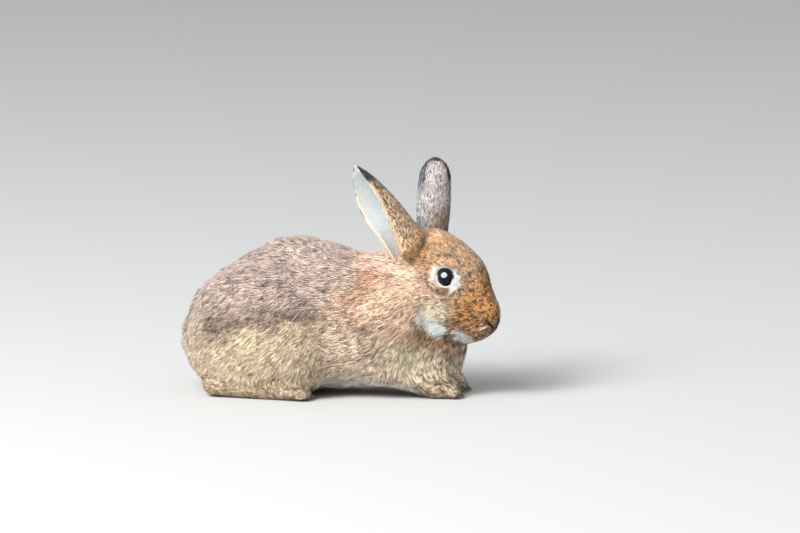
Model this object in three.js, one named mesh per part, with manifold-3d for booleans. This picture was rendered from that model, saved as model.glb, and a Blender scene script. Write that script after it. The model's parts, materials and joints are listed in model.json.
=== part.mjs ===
/**
 * A domestic rabbit, crouched with its feet tucked under it and its head turned a little to its right.
 *
 * Millimetres, +Z up. The rabbit faces +X, its left side is +Y, and the floor is Z = 0.
 * The flesh is one smooth form: a list of named masses (ellipsoids and tapered limbs) that melt into
 * each other. Its surface is the tips of the coat. A ball is grown from inside until it meets that
 * surface, and the body that comes of it is parted into trunk, neck, head and thighs by thin cuts.
 */
import * as THREE from 'three';
import { mergeVertices } from 'three/addons/utils/BufferGeometryUtils.js';
import Module from 'manifold-3d';

const wasm = await Module();
wasm.setup();

// ---- Driving dimensions ------------------------------------------------------------------------

const GAP = 0.3;                    // clearance between neighbouring pieces
const RIGHT = -1;
const LEFT = 1;
const SIDES = [['right', RIGHT], ['left', LEFT]];

const BODY_HEART = [-20, 0, 62];    // the point that the body is grown from
const BODY_STRETCH = [140, 60, 64]; // proportions of the ball it is grown from
const HEAD_HEART = [0, 0, -14];     // the same for the head, in its own frame
const BODY_DETAIL = 8;
const HEAD_DETAIL = 8;
const LIMB_DETAIL = 2;
const EYE_DETAIL = 2;
const CUT_DETAIL = 3;
const EAR_GRID = [18, 12];          // steps round the ear's section and along its length

const HEAD_AT = [101, -6, 104];     // between the eyes
const HEAD_TURN = -13;              // degrees about Z, to the rabbit's right
const HEAD_NOD = 30;                // degrees that the face points below level

const EYE_RADIUS = 9.6;
const EYE_AT = [0, 18.4, 0];        // in the head's own frame, left side
const EYE_HOLLOW = { at: [0, 33.5, 0], radii: [15, 11, 14], melt: 5 };
const SOLE = 0;                     // level of every flat that the rabbit rests on

// Masses of the trunk: middle, half-axes, lift of the front in degrees, and how far the mass melts.
const TRUNK = [
  { name: 'rump', at: [-84, 0, 55], radii: [49, 46, 50], lift: 0, melt: 1 },
  { name: 'seat', at: [-94, 0, 34], radii: [39, 45, 34], lift: 0, melt: 14 },
  { name: 'loin', at: [-36, 0, 73], radii: [62, 42, 60], lift: 0, melt: 20 },
  { name: 'ribs', at: [12, 0, 66], radii: [60, 45, 54], lift: -6, melt: 18 },
  { name: 'withers', at: [42, -1, 68], radii: [40, 36, 44], lift: 0, melt: 18 },
  { name: 'belly', at: [-6, 0, 34], radii: [90, 49, 31], lift: 0, melt: 16 },
  { name: 'chest', at: [72, -2, 46], radii: [37, 31, 45], lift: 6, melt: 18 },
];

// Masses that come in pairs; the left one is listed.
const FLANKS = [
  { name: 'haunch', at: [-66, 37, 56], radii: [50, 29, 54], lift: -14, melt: 24 },
  { name: 'knee', at: [-38, 43, 34], radii: [28, 19, 27], lift: 0, melt: 24 },
  { name: 'shoulder', at: [46, 27, 58], radii: [28, 19, 38], lift: -20, melt: 14 },
];

// Masses of the head in its own frame: X along the face to the nose, Y to the left, Z to the crown.
const SKULL = [
  { name: 'cranium', at: [-20, 0, -5], radii: [36, 25, 31], melt: 14 },
  { name: 'brow', at: [1, 0, -6], radii: [30, 19, 29], melt: 10 },
  { name: 'throat', at: [-8, 0, -34], radii: [32, 23, 26], melt: 14 },
  { name: 'chin', at: [30, 0, -36], radii: [13, 11, 12], melt: 10 },
  { name: 'face', at: [20, 0, -20], radii: [28, 18, 22], melt: 10 },
  { name: 'nose', at: [42, 0, -17.5], radii: [8, 8, 9], melt: 6 },
];
const SKULL_PAIRS = [
  { name: 'cheek', at: [4, 12, -26], radii: [31, 16, 28], melt: 12 },
  { name: 'whisker pad', at: [36.5, 6.2, -24], radii: [13.5, 10, 13.5], melt: 10 },
  { name: 'ear root', at: [-34, 20, 3], radii: [12, 9, 12], melt: 12 },
];
const NOSE_BRIDGE = { from: [8, 0, -2], to: [34, 0, -13], radii: [20, 13.5], melt: 9 };
const NECK = { from: [44, -1, 78], to: [80, -5, 94], radii: [37, 33], melt: 20 };

// Limbs that lie under the body; the left one is listed, with its radius at each end.
const HIND_FOOT = { from: [-98, 45, 12.5], to: [-22, 50, 8.5], radii: [12.5, 10] };
const FORELEG = { from: [38, 25, 30], to: [84, 20, 13], radii: [16, 11] };
const FOREPAW = { from: [84, 19, 11], to: [99, 18, 8], radii: [11, 8.5] };
const TAIL = { at: [-124, 0, 45], radii: [15, 14, 22], lift: -12 };

// Where the body is parted: ellipsoids whose skins are the cuts.
const HEAD_REGION = { at: [5, 0, -14], radii: [66, 50, 47] };
const NECK_REGION = { at: [-14, 0, -14], radii: [74, 62, 60] };
const THIGH_REGION = { at: [-62, 56, 44], radii: [58, 34, 62], lift: -14 };

// Ears: root and tip; which way the opening faces at the root and the tip (degrees about Z); how far
// each side of the section curls round at root, middle and tip (degrees); how far the middle bows out;
// the share of the length from which the leaf narrows, and how round its shoulder and its tip are.
const EARS = {
  right: {
    root: [72.8, -11.9, 134], tip: [14.3, -12.7, 195.6], faces: [211, 213], curl: [146, 93, 60], bow: 3,
    shoulder: 0.35, round: 2, point: 0.8,
  },
  left: {
    root: [77.7, 4.4, 122], tip: [76.4, 26.9, 200], faces: [117, 90], curl: [177, 136, 50], bow: 11.8,
    shoulder: 0.38, round: 1.3, point: 0.62,
  },
};
const EAR_SEAT = [-28, 9, -10];     // where the sunk root of the left ear ends, in the head's frame
const EAR_SUNK = 0.22;              // share of an ear's length that goes on below its root
const EAR_SEATING = 1.1;            // power with which the sunk part draws in to its seat
const EAR_HALF = 34;                // from the middle line of the leaf to its edge, round the section
const EAR_THICK = 3.2;
const EAR_ROOT_SHARE = 1.25;        // width where the leaf is rolled into a tube, as a share
const EAR_END_SHARE = 0.2;          // thickness left at the tip, as a share
const EAR_THINNING = 4;             // how fast the thickness grows from there, per ear's length

// ---- Colours -----------------------------------------------------------------------------------

const FAWN = { color: 0xc9a482, roughness: 0.95 };
const GREY_FAWN = { color: 0xb39a80, roughness: 0.95 };
const PALE_FAWN = { color: 0xdcc4a0, roughness: 0.95 };
const RUSSET = { color: 0xb98752, roughness: 0.92 };
const EAR_BROWN = { color: 0xb49a84, roughness: 0.9 };
const EYE_BLACK = { color: 0x0b0909, roughness: 0.08 };

// ---- Forms -------------------------------------------------------------------------------------

const vector = ([x, y, z]) => new THREE.Vector3(x, y, z);
const mirrored = ([x, y, z], side) => new THREE.Vector3(x, side * y, z);

/** The head's own frame, turned and nodded, with its origin between the eyes. */
const headFrame = new THREE.Matrix4().compose(
  vector(HEAD_AT),
  new THREE.Quaternion().setFromEuler(
    new THREE.Euler(0, THREE.MathUtils.degToRad(HEAD_NOD), THREE.MathUtils.degToRad(HEAD_TURN), 'ZYX')),
  new THREE.Vector3(1, 1, 1));

/** A frame at a point of the trunk whose X axis is lifted by some degrees. */
function liftedFrame(at, lift = 0) {
  return new THREE.Matrix4()
    .makeRotationY(-THREE.MathUtils.degToRad(lift))
    .setPosition(at);
}

/** A frame at a point of the head, parallel to the head's own. */
function faceFrame(at) {
  return headFrame.clone().multiply(new THREE.Matrix4().setPosition(at));
}

/**
 * Distance to an ellipsoid, good to first order: with a = |p / r| and b = |p / r²|, it is a(a - 1)/b.
 */
function ellipsoid(frame, radii) {
  const toLocal = frame.clone().invert();
  const [rx, ry, rz] = radii;
  const p = new THREE.Vector3();
  return (point) => {
    p.copy(point).applyMatrix4(toLocal);
    const a = Math.hypot(p.x / rx, p.y / ry, p.z / rz);
    const b = Math.hypot(p.x / rx ** 2, p.y / ry ** 2, p.z / rz ** 2);
    return b < 1e-9 ? -Math.min(rx, ry, rz) : a * (a - 1) / b;
  };
}

/** Distance to a limb: a rod with round ends whose radius runs evenly from one end to the other. */
function limb(from, to, [startRadius, endRadius]) {
  const line = new THREE.Line3(from, to);
  const nearest = new THREE.Vector3();
  return (point) => {
    const t = line.closestPointToPointParameter(point, true);
    return point.distanceTo(line.at(t, nearest)) - THREE.MathUtils.lerp(startRadius, endRadius, t);
  };
}

/** The nearer of two distances, with the crease between them filled over the width melt. */
function melted(a, b, melt) {
  const near = Math.max(melt - Math.abs(a - b), 0) / melt;
  return Math.min(a, b) - near * near * melt / 4;
}

/** Every mass of flesh above the feet as [distance, melt], in the order in which they melt. */
function fleshMasses() {
  const list = TRUNK.map((m) => [ellipsoid(liftedFrame(vector(m.at), m.lift), m.radii), m.melt]);
  for (const m of FLANKS) {
    for (const [, side] of SIDES) {
      list.push([ellipsoid(liftedFrame(mirrored(m.at, side), m.lift), m.radii), m.melt]);
    }
  }
  list.push([limb(vector(NECK.from), vector(NECK.to), NECK.radii), NECK.melt]);
  for (const m of SKULL) list.push([ellipsoid(faceFrame(vector(m.at)), m.radii), m.melt]);
  for (const m of SKULL_PAIRS) {
    for (const [, side] of SIDES) {
      list.push([ellipsoid(faceFrame(mirrored(m.at, side)), m.radii), m.melt]);
    }
  }
  const bridge = [NOSE_BRIDGE.from, NOSE_BRIDGE.to].map((end) => vector(end).applyMatrix4(headFrame));
  list.push([limb(...bridge, NOSE_BRIDGE.radii), NOSE_BRIDGE.melt]);
  return list;
}

const masses = fleshMasses();

const eyeHollows = SIDES.map(([, side]) => (
  ellipsoid(faceFrame(mirrored(EYE_HOLLOW.at, side)), EYE_HOLLOW.radii)));

/** Distance from a point to the tips of the coat, less than zero inside, with hollows round the eyes. */
function flesh(point) {
  const [[first], ...rest] = masses;
  const join = (nearest, [distance, melt]) => melted(nearest, distance(point), melt);
  const full = rest.reduce(join, first(point));
  return eyeHollows.reduce((inside, hollow) => -melted(-inside, hollow(point), EYE_HOLLOW.melt), full);
}

/**
 * A ball grown from heart until it meets the level of a form: every corner of the ball goes out along
 * its own ray in steps no longer than its depth, and the last step is halved until it is exact.
 */
function grown(form, heart, { detail, stretch = [1, 1, 1], level = 0 }) {
  const shortest = 0.4;
  const stepShare = 0.7;            // of the depth, because distances are good to first order only
  const halvings = 16;
  const geometry = merged(new THREE.IcosahedronGeometry(1, detail).scale(...stretch));
  const corners = geometry.getAttribute('position');
  const ray = new THREE.Vector3();
  const point = new THREE.Vector3();
  const depth = (reach) => form(point.copy(heart).addScaledVector(ray, reach)) - level;
  for (let i = 0; i < corners.count; i++) {
    ray.fromBufferAttribute(corners, i).normalize();
    let reach = 0;
    let last = 0;
    for (let d = depth(0); d < 0; d = depth(reach)) {
      last = reach;
      reach += Math.max(-d * stepShare, shortest);
    }
    for (let n = 0; n < halvings; n++) {
      const middle = (last + reach) / 2;
      if (depth(middle) < 0) last = middle;
      else reach = middle;
    }
    point.copy(heart).addScaledVector(ray, reach);
    corners.setXYZ(i, point.x, point.y, point.z);
  }
  return geometry;
}

/** An ellipsoid's skin as a mesh, swollen all round by some millimetres. */
function region(frame, radii, swell = 0) {
  return merged(new THREE.IcosahedronGeometry(1, CUT_DETAIL)
    .scale(...radii.map((r) => r + swell))
    .applyMatrix4(frame));
}

/** The same geometry with its corners shared and nothing but their positions. */
function merged(geometry) {
  geometry.deleteAttribute('normal');
  geometry.deleteAttribute('uv');
  return mergeVertices(geometry, 1e-4);
}

/** A closed geometry as a solid that can be cut and joined. */
function solid(geometry) {
  return new wasm.Manifold(new wasm.Mesh({
    numProp: 3,
    vertProperties: new Float32Array(geometry.getAttribute('position').array),
    triVerts: new Uint32Array(geometry.index.array),
  }));
}

/** A solid without the part of it that is below the floor. */
function soled(body) {
  const reach = 400;
  const ground = merged(new THREE.BoxGeometry(reach, reach, reach).translate(0, 0, SOLE - reach / 2));
  return body.subtract(solid(ground));
}

/** The largest body of a solid: a cut can shave off a crumb. */
function largest(body) {
  return body.decompose().reduce((a, b) => (a.volume() > b.volume() ? a : b));
}

/** A named mesh of a solid, its slivers taken out. */
function piece(name, body, material) {
  const finest = 0.18;
  const { vertProperties, triVerts } = largest(body.simplify(finest)).getMesh();
  const geometry = new THREE.BufferGeometry();
  geometry.setAttribute('position', new THREE.BufferAttribute(vertProperties, 3));
  geometry.setIndex(new THREE.BufferAttribute(triVerts, 1));
  geometry.computeVertexNormals();
  const mesh = new THREE.Mesh(geometry, new THREE.MeshStandardMaterial({ metalness: 0, ...material }));
  mesh.name = name;
  return mesh;
}

// ---- Limbs, tail, eyes and ears ----------------------------------------------------------------

/** A limb of one side, grown from its own middle; level swells it. */
function limbSolid({ from, to, radii }, side, level = 0) {
  const ends = [mirrored(from, side), mirrored(to, side)];
  const heart = ends[0].clone().lerp(ends[1], 0.5);
  const along = ends[0].distanceTo(ends[1]) / 2 + radii[0];
  const stretch = [along, radii[0], radii[0]];
  return solid(grown(limb(...ends, radii), heart, { detail: LIMB_DETAIL, stretch, level }));
}

function tailSolid(level = 0) {
  const form = ellipsoid(liftedFrame(vector(TAIL.at), TAIL.lift), TAIL.radii);
  return solid(grown(form, vector(TAIL.at), { detail: LIMB_DETAIL, stretch: TAIL.radii, level }));
}

function eyeSolid(side, swell = 0) {
  const ball = new THREE.IcosahedronGeometry(EYE_RADIUS + swell, EYE_DETAIL);
  return solid(merged(ball.applyMatrix4(faceFrame(mirrored(EYE_AT, side)))));
}

/**
 * Half the unrolled width of an ear at share v of its length. Past the shoulder it falls as
 * (1 - past ^ round) ^ point.
 */
function earWidth({ shoulder, round, point }, v) {
  const settled = Math.sin(Math.PI / 2 * Math.min(v / shoulder, 1));
  const past = Math.max(v - shoulder, 0) / (1 - shoulder);
  return EAR_HALF * THREE.MathUtils.lerp(EAR_ROOT_SHARE, 1, settled) * (1 - past ** round) ** point;
}

/** How far each side of an ear's section curls round at v, in radians: a parabola through three values. */
function earCurl([root, middle, tip], v) {
  const degrees = root * (1 - v) * (1 - 2 * v) + middle * 4 * v * (1 - v) + tip * v * (2 * v - 1);
  return THREE.MathUtils.degToRad(degrees);
}

/**
 * An ear: a leaf of skin whose cross-section is an arc that closes round the root and opens to the tip.
 * A sphere's grid is laid on it: longitude goes over the outer face and back over the inner one, and
 * latitude goes from tip to root.
 */
function earSolid(ear, side) {
  const { root, tip, faces, curl, bow } = ear;
  const axis = vector(tip).sub(vector(root));
  const length = axis.length();
  axis.normalize();
  const facing = new THREE.Vector3();
  const across = new THREE.Vector3();
  const geometry = new THREE.SphereGeometry(1, ...EAR_GRID);
  const corners = geometry.getAttribute('position');
  const grid = geometry.getAttribute('uv');
  const point = new THREE.Vector3();
  const seat = mirrored(EAR_SEAT, side).applyMatrix4(headFrame);
  for (let i = 0; i < corners.count; i++) {
    const share = grid.getY(i);
    const v = THREE.MathUtils.lerp(-EAR_SUNK, 1, share);
    const above = Math.max(v, 0);
    const round = grid.getX(i) * 2 * Math.PI;
    const turn = THREE.MathUtils.degToRad(THREE.MathUtils.lerp(...faces, above));
    facing.set(Math.cos(turn), Math.sin(turn), 0);
    facing.addScaledVector(axis, -facing.dot(axis)).normalize();
    across.crossVectors(axis, facing);
    const pole = share === 0 || share === 1;
    const curled = earCurl(curl, above);
    const radius = pole ? 0 : earWidth(ear, above) / curled;
    const angle = pole ? 0 : curled * Math.cos(round);
    const thinning = Math.min(1, EAR_THINNING * (1 - v) + EAR_END_SHARE);
    const wall = pole ? 0 : EAR_THICK / 2 * Math.sin(round) * thinning;
    const reach = radius + wall;
    point.copy(vector(root))
      .addScaledVector(axis, length * v)
      .addScaledVector(across, reach * Math.sin(angle))
      .addScaledVector(facing, radius - reach * Math.cos(angle) - bow * 4 * above * (1 - above))
      .lerp(seat, Math.max(-v / EAR_SUNK, 0) ** EAR_SEATING);
    corners.setXYZ(i, point.x, point.y, point.z);
  }
  return solid(merged(geometry));
}

// ---- The rabbit --------------------------------------------------------------------------------

const heart = vector(BODY_HEART);
const bodyBall = (level) => solid(grown(flesh, heart, { detail: BODY_DETAIL, stretch: BODY_STRETCH, level }));
const headHeart = vector(HEAD_HEART).applyMatrix4(headFrame);
const headBall = (level) => solid(grown(flesh, headHeart, { detail: HEAD_DETAIL, level }));

const headRegion = (swell) => solid(region(faceFrame(vector(HEAD_REGION.at)), HEAD_REGION.radii, swell));
const neckRegion = (swell) => solid(region(faceFrame(vector(NECK_REGION.at)), NECK_REGION.radii, swell));
const thighRegion = (side, swell) => {
  const frame = liftedFrame(mirrored(THIGH_REGION.at, side), THIGH_REGION.lift);
  return solid(region(frame, THIGH_REGION.radii, swell));
};

const body = bodyBall(0);
let trunk = body.subtract(neckRegion(GAP)).subtract(tailSolid(GAP));
let neck = body.intersect(neckRegion(0)).subtract(headRegion(GAP));
let head = headBall(0).intersect(headRegion(0));
const earFloor = headBall(GAP).add(bodyBall(GAP));

const rabbit = new THREE.Group();

for (const [name, side] of SIDES) {
  head = head.subtract(eyeSolid(side, GAP));
  trunk = trunk.subtract(thighRegion(side, GAP));
  const hindFoot = limbSolid(HIND_FOOT, side);
  const hindFootRoom = limbSolid(HIND_FOOT, side, GAP);
  const foreleg = limbSolid(FORELEG, side).subtract(limbSolid(FOREPAW, side, GAP));
  const forepaw = limbSolid(FOREPAW, side);
  trunk = trunk
    .subtract(hindFootRoom)
    .subtract(limbSolid(FORELEG, side, GAP))
    .subtract(limbSolid(FOREPAW, side, GAP));
  const thigh = body.intersect(thighRegion(side, 0)).subtract(hindFootRoom);
  rabbit.add(
    piece(`thigh_${name}`, soled(thigh), GREY_FAWN),
    piece(`hind_foot_${name}`, soled(hindFoot), PALE_FAWN),
    piece(`foreleg_${name}`, soled(foreleg), PALE_FAWN),
    piece(`forepaw_${name}`, soled(forepaw), PALE_FAWN),
    piece(`eye_${name}`, eyeSolid(side), EYE_BLACK),
    piece(`ear_${name}`, earSolid(EARS[name], side).subtract(earFloor), EAR_BROWN),
  );
}

rabbit.add(
  piece('trunk', soled(trunk), GREY_FAWN),
  piece('neck', soled(neck), FAWN),
  piece('head', head, RUSSET),
  piece('tail', tailSolid(), PALE_FAWN),
);

export default rabbit;
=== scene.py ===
# %% [markdown]
# # A crouched rabbit
# This lesson dresses a rabbit. The solids of the frame give its size and stance. Here they get one
# smooth skin, eyes, claws, whiskers and a coat of about 240,000 small locks of fur.
# Lengths are written in millimetres, as the solids' own are, and turned to metres in one place.

# %% The frame
import json
import math
import time
import bpy
import numpy as np
import openvdb
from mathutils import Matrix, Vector

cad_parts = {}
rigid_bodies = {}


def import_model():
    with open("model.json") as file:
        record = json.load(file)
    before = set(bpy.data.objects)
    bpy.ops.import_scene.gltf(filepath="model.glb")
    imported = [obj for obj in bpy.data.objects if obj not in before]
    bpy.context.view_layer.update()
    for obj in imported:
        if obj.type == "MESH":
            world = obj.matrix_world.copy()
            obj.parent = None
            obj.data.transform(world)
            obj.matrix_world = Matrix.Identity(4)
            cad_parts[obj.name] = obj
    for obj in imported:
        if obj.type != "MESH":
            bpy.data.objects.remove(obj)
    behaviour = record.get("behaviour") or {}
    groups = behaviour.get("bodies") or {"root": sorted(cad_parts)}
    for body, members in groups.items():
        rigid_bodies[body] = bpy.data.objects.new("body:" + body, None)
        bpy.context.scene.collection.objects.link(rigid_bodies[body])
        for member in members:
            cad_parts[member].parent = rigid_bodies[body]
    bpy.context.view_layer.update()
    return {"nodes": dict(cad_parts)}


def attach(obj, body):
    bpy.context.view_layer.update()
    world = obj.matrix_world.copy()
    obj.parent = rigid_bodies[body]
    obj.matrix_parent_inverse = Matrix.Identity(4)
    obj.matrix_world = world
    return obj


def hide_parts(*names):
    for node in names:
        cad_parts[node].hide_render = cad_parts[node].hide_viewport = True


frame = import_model()
BEGAN = time.perf_counter()

# %% [markdown]
# ## Small tools
# Every shape below is worked out for all of its points at once, so the tools take whole arrays.
# The random numbers come from one seeded source, which makes each run the same.

# %% Tools for arrays
MM = 0.001
RIGHT, LEFT = -1, 1
SIDES = {"right": RIGHT, "left": LEFT}
rng = np.random.default_rng(11)


def unit(vectors):
    """Each vector divided by its own length."""
    vectors = np.asarray(vectors, float)
    return vectors / (np.linalg.norm(vectors, axis=-1, keepdims=True) + 1e-12)


def ramp(start, end, x):
    """0 before start, 1 after end, and an even S-shaped rise between: t * t * (3 - 2 t)."""
    t = np.clip((np.asarray(x, float) - start) / (end - start), 0, 1)
    return t * t * (3 - 2 * t)


def blend(a, b, share):
    """a where share is 0, b where it is 1, and in proportion between."""
    return a + (b - a) * share


def lattice(cells, seed):
    """Three random numbers from -1 to 1 for each whole-numbered cell, always the same for one cell."""
    mixed = cells.astype(np.int64) @ np.array([73856093, 19349663, 83492791]) + seed * 2654435761
    mixed = (mixed ^ (mixed >> 13)) * 1274126177
    mixed = mixed ^ (mixed >> 16)
    return np.stack([((mixed >> shift) & 1023) / 511.5 - 1 for shift in (0, 10, 20)], -1)


def drift(points, size, seed):
    """A smooth random vector at each point: lattice values size apart, blended over each cell."""
    scaled = np.asarray(points, float) / size
    low = np.floor(scaled)
    part = scaled - low
    part = part * part * (3 - 2 * part)
    total = 0
    for corner in np.ndindex(2, 2, 2):
        corner = np.array(corner)
        share = np.prod(np.where(corner == 1, part, 1 - part), axis=-1)
        total = total + share[:, None] * lattice(low + corner, seed)
    return total


print("a ramp from 0 to 4, at 1:", float(ramp(0, 4, 1)))

# %% [markdown]
# ## The masses of the body
# A rabbit's outline is a few large rounded masses of muscle and fat under one coat. Each mass is an
# ellipsoid or a tapered rod, and each also says how the coat grows there: how deep it stands over
# the skin, how long and wide a lock is, and which way it lies. Neighbouring masses melt into each
# other, and the habits of the coat blend in the same way, so there are no borders between them.

# %% Frames of the head and the trunk
HEAD_AT = np.array([101.0, -6.0, 104.0])   # between the eyes
HEAD_TURN = math.radians(-13)
HEAD_NOD = math.radians(30)
HEADING = np.array([math.cos(HEAD_TURN), math.sin(HEAD_TURN), 0])
UPWARD = np.array([0, 0, 1.0])
FACE_AXES = np.array([
    HEADING * math.cos(HEAD_NOD) - UPWARD * math.sin(HEAD_NOD),
    np.cross(UPWARD, HEADING),
    HEADING * math.sin(HEAD_NOD) + UPWARD * math.cos(HEAD_NOD),
])   # to the nose, to the left, to the crown


def on_head(place):
    """A place written in the head's frame, in the frame of the trunk."""
    return HEAD_AT + np.asarray(place, float) @ FACE_AXES


def in_head(points):
    """Points of the trunk's frame, written in the head's."""
    return (points - HEAD_AT) @ FACE_AXES.T


def lifted(degrees):
    """Axes whose first one is lifted from level by some degrees."""
    turn = math.radians(degrees)
    return np.array([[math.cos(turn), 0, math.sin(turn)], [0, 1, 0], [-math.sin(turn), 0, math.cos(turn)]])


print("the tip of the nose:", np.round(on_head((52, 0, -20)), 1).tolist())

# %% The habits of the coat
# depth over the skin, length of a lock, width of a lock
BODY_FUR = (4.6, 7.4, 0.60)
NECK_FUR = (4.2, 6.9, 0.60)
CHEEK_FUR = (2.8, 5.4, 0.6)
BROW_FUR = (1.8, 3.7, 0.6)
MUZZLE_FUR = (1.3, 2.8, 0.52)
LEG_FUR = (2.2, 6.0, 0.95)
PAW_FUR = (1.4, 4.4, 0.9)
TAIL_FUR = (5.0, 11.0, 1.1)
LID_FUR = (0.5, 2.0, 0.45)
NOSE_FUR = (0.5, 1.6, 0.42)

# %% [markdown]
# The masses are rows of numbers: where an ellipsoid's middle is and how far it reaches along its
# three axes, or where a rod's two ends are and how thick it is there. "Lift" tips an ellipsoid up in
# front, by degrees. "Melt" is how near a mass must come to the ones before it to run together with
# them. "Lie" is the way in which its hair points.

# %% The masses of the trunk
TRUNK = [  # middle, half-axes, lift, melt, habits, lie
    ((-84, 0, 55), (49, 46, 50), 0, 1, BODY_FUR, (-0.80, 0, -0.60)),
    ((-94, 0, 34), (39, 45, 34), 0, 14, BODY_FUR, (-0.55, 0, -0.85)),
    ((-36, 0, 73), (62, 42, 60), 0, 20, BODY_FUR, (-0.97, 0, -0.25)),
    ((12, 0, 66), (60, 45, 54), -6, 18, BODY_FUR, (-0.95, 0, -0.30)),
    ((42, -1, 68), (40, 36, 44), 0, 18, BODY_FUR, (-0.95, 0, -0.30)),
    ((-6, 0, 34), (90, 49, 31), 0, 16, BODY_FUR, (-0.97, 0, -0.15)),
    ((72, -2, 46), (37, 31, 45), 6, 18, BODY_FUR, (-0.45, 0, -0.90)),
]
FLANKS = [  # in pairs; the left one is listed
    ((-66, 37, 56), (50, 29, 54), -14, 24, BODY_FUR, (-0.80, 0, -0.60)),
    ((-38, 43, 34), (28, 19, 27), 0, 24, BODY_FUR, (-0.60, 0, -0.75)),
    ((46, 27, 58), (28, 19, 38), -20, 14, BODY_FUR, (-0.65, 0, -0.75)),
]
TAIL = ((-124, 0, 45), (15, 14, 22), -12, 6, TAIL_FUR, (-0.25, 0, 0.95))
NECK = (  # ends, radii, melt, habits, lie
    (44, -1, 78), (80, -5, 94), (37, 33), 20, NECK_FUR, (-0.95, 0, -0.35),
)

# %% The masses of the head
SKULL = [  # in the head's frame: middle, half-axes, melt, habits, lie
    ((-20, 0, -5), (36, 25, 31), 14, BROW_FUR, (-1, 0, -0.05)),
    ((1, 0, -6), (30, 19, 29), 10, BROW_FUR, (-1, 0, 0.0)),
    ((-8, 0, -34), (32, 23, 26), 14, NECK_FUR, (-0.9, 0, -0.4)),
    ((30, 0, -36), (13, 11, 12), 10, MUZZLE_FUR, (-1, 0, -0.1)),
    ((20, 0, -20), (28, 18, 22), 10, BROW_FUR, (-1, 0, -0.15)),
    ((42, 0, -17.5), (8, 8, 9), 6, NOSE_FUR, (-1, 0, 0.5)),
]
SKULL_PAIRS = [  # cheeks, sides of the muzzle, seats of the ears
    ((4, 12, -26), (31, 16, 28), 12, CHEEK_FUR, (-0.95, 0, -0.35)),
    ((36.5, 6.2, -24), (13.5, 10, 13.5), 10, MUZZLE_FUR, (-0.95, 0, -0.3)),
    ((-34, 20, 3), (12, 9, 12), 12, BROW_FUR, (-0.95, 0, -0.2)),
]
NOSE_BRIDGE = ((8, 0, -2), (34, 0, -13), (20, 13.5), 9, BROW_FUR, (-1, 0, 0.1))

# %% The masses of the limbs
LIMBS = [  # in pairs: ends, radii, melt, habits, lie of hind foot, foreleg and forepaw
    ((-98, 45, 12.5), (-30, 50, 9.5), (12.5, 11), 8, PAW_FUR, (1, 0, -0.05)),
    ((38, 25, 30), (84, 20, 13), (16, 11), 12, LEG_FUR, (0.8, 0, -0.5)),
    ((84, 19, 11), (96, 18, 8.5), (11, 9), 5, PAW_FUR, (1, 0, -0.1)),
]
HIND_TOES = [((-38, 50 + across, 7.5), (-19 - 0.35 * abs(across), 50.5 + 1.15 * across, 5.6), (5.0, 4.6))
             for across in (-7.5, -2.5, 2.5, 7.5)]   # ends and radii of each toe, in a fan
FORE_TOES = [((92, 18 + across, 6.5), (103 - 0.4 * abs(across), 18 + 1.2 * across, 5.0), (4.4, 4.0))
             for across in (-5.4, -1.8, 1.8, 5.4)]
TOE_MELT = 1.6
TOE_LIE = (1, 0, -0.2)

# %% [markdown]
# The distance to a mass is less than zero inside it. For a rod it is exact. For an ellipsoid it is
# an estimate that is good near the surface, which is the only place where it is needed.

# %% Distances to shapes
def ellipsoid(points, middle, radii, axes):
    """Distance to an ellipsoid to first order: a (a - 1) / b, with a = |p / r| and b = |p / r / r|."""
    local = (points - np.asarray(middle, float)) @ axes.T / radii
    a = np.sqrt(np.einsum("ij,ij->i", local, local))
    inner = local / radii
    b = np.sqrt(np.einsum("ij,ij->i", inner, inner)) + 1e-9
    return a * (a - 1) / b


def limb(points, start, end, radii):
    """Distance to a rod with round ends whose radius runs evenly from one end to the other."""
    start, end = np.asarray(start, float), np.asarray(end, float)
    along = end - start
    share = np.clip((points - start) @ along / (along @ along), 0, 1)
    nearest = points - start - share[:, None] * along
    return np.sqrt(np.einsum("ij,ij->i", nearest, nearest)) - blend(*radii, share)


def flipped(place, side):
    """A place or direction of the left side, put on the given one."""
    return np.array([place[0], side * place[1], place[2]], float)


def placed(shape, *where):
    """The distance to a shape in its place, as a function of the points alone."""
    return lambda points: shape(points, *where)


# %% All the masses
def list_masses():
    """Every mass as (distance function, melt, its habits and the lie of its coat in one row)."""
    found = []

    def add(shape, melt, habits, lie, *where):
        found.append((placed(shape, *where), melt, np.concatenate([habits, unit(lie)])))

    for middle, radii, lift, melt, habits, lie in TRUNK:
        add(ellipsoid, melt, habits, lie, middle, radii, lifted(lift))
    for middle, radii, lift, melt, habits, lie in FLANKS:
        for side in SIDES.values():
            add(ellipsoid, melt, habits, lie, flipped(middle, side), radii, lifted(lift))
    start, end, radii, melt, habits, lie = NECK
    add(limb, melt, habits, lie, start, end, radii)
    for middle, radii, melt, habits, lie in SKULL:
        add(ellipsoid, melt, habits, lie @ FACE_AXES, on_head(middle), radii, FACE_AXES)
    for middle, radii, melt, habits, lie in SKULL_PAIRS:
        for side in SIDES.values():
            add(ellipsoid, melt, habits, lie @ FACE_AXES, on_head(flipped(middle, side)), radii, FACE_AXES)
    start, end, radii, melt, habits, lie = NOSE_BRIDGE
    add(limb, melt, habits, lie @ FACE_AXES, on_head(start), on_head(end), radii)
    for side in SIDES.values():
        for start, end, radii, melt, habits, lie in LIMBS:
            add(limb, melt, habits, lie, flipped(start, side), flipped(end, side), radii)
        for start, end, radii in HIND_TOES + FORE_TOES:
            add(limb, TOE_MELT, PAW_FUR, TOE_LIE, flipped(start, side), flipped(end, side), radii)
    middle, radii, lift, melt, habits, lie = TAIL
    add(ellipsoid, melt, habits, lie, middle, radii, lifted(lift))
    return found


MASSES = list_masses()
print("masses:", len(MASSES))

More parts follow.
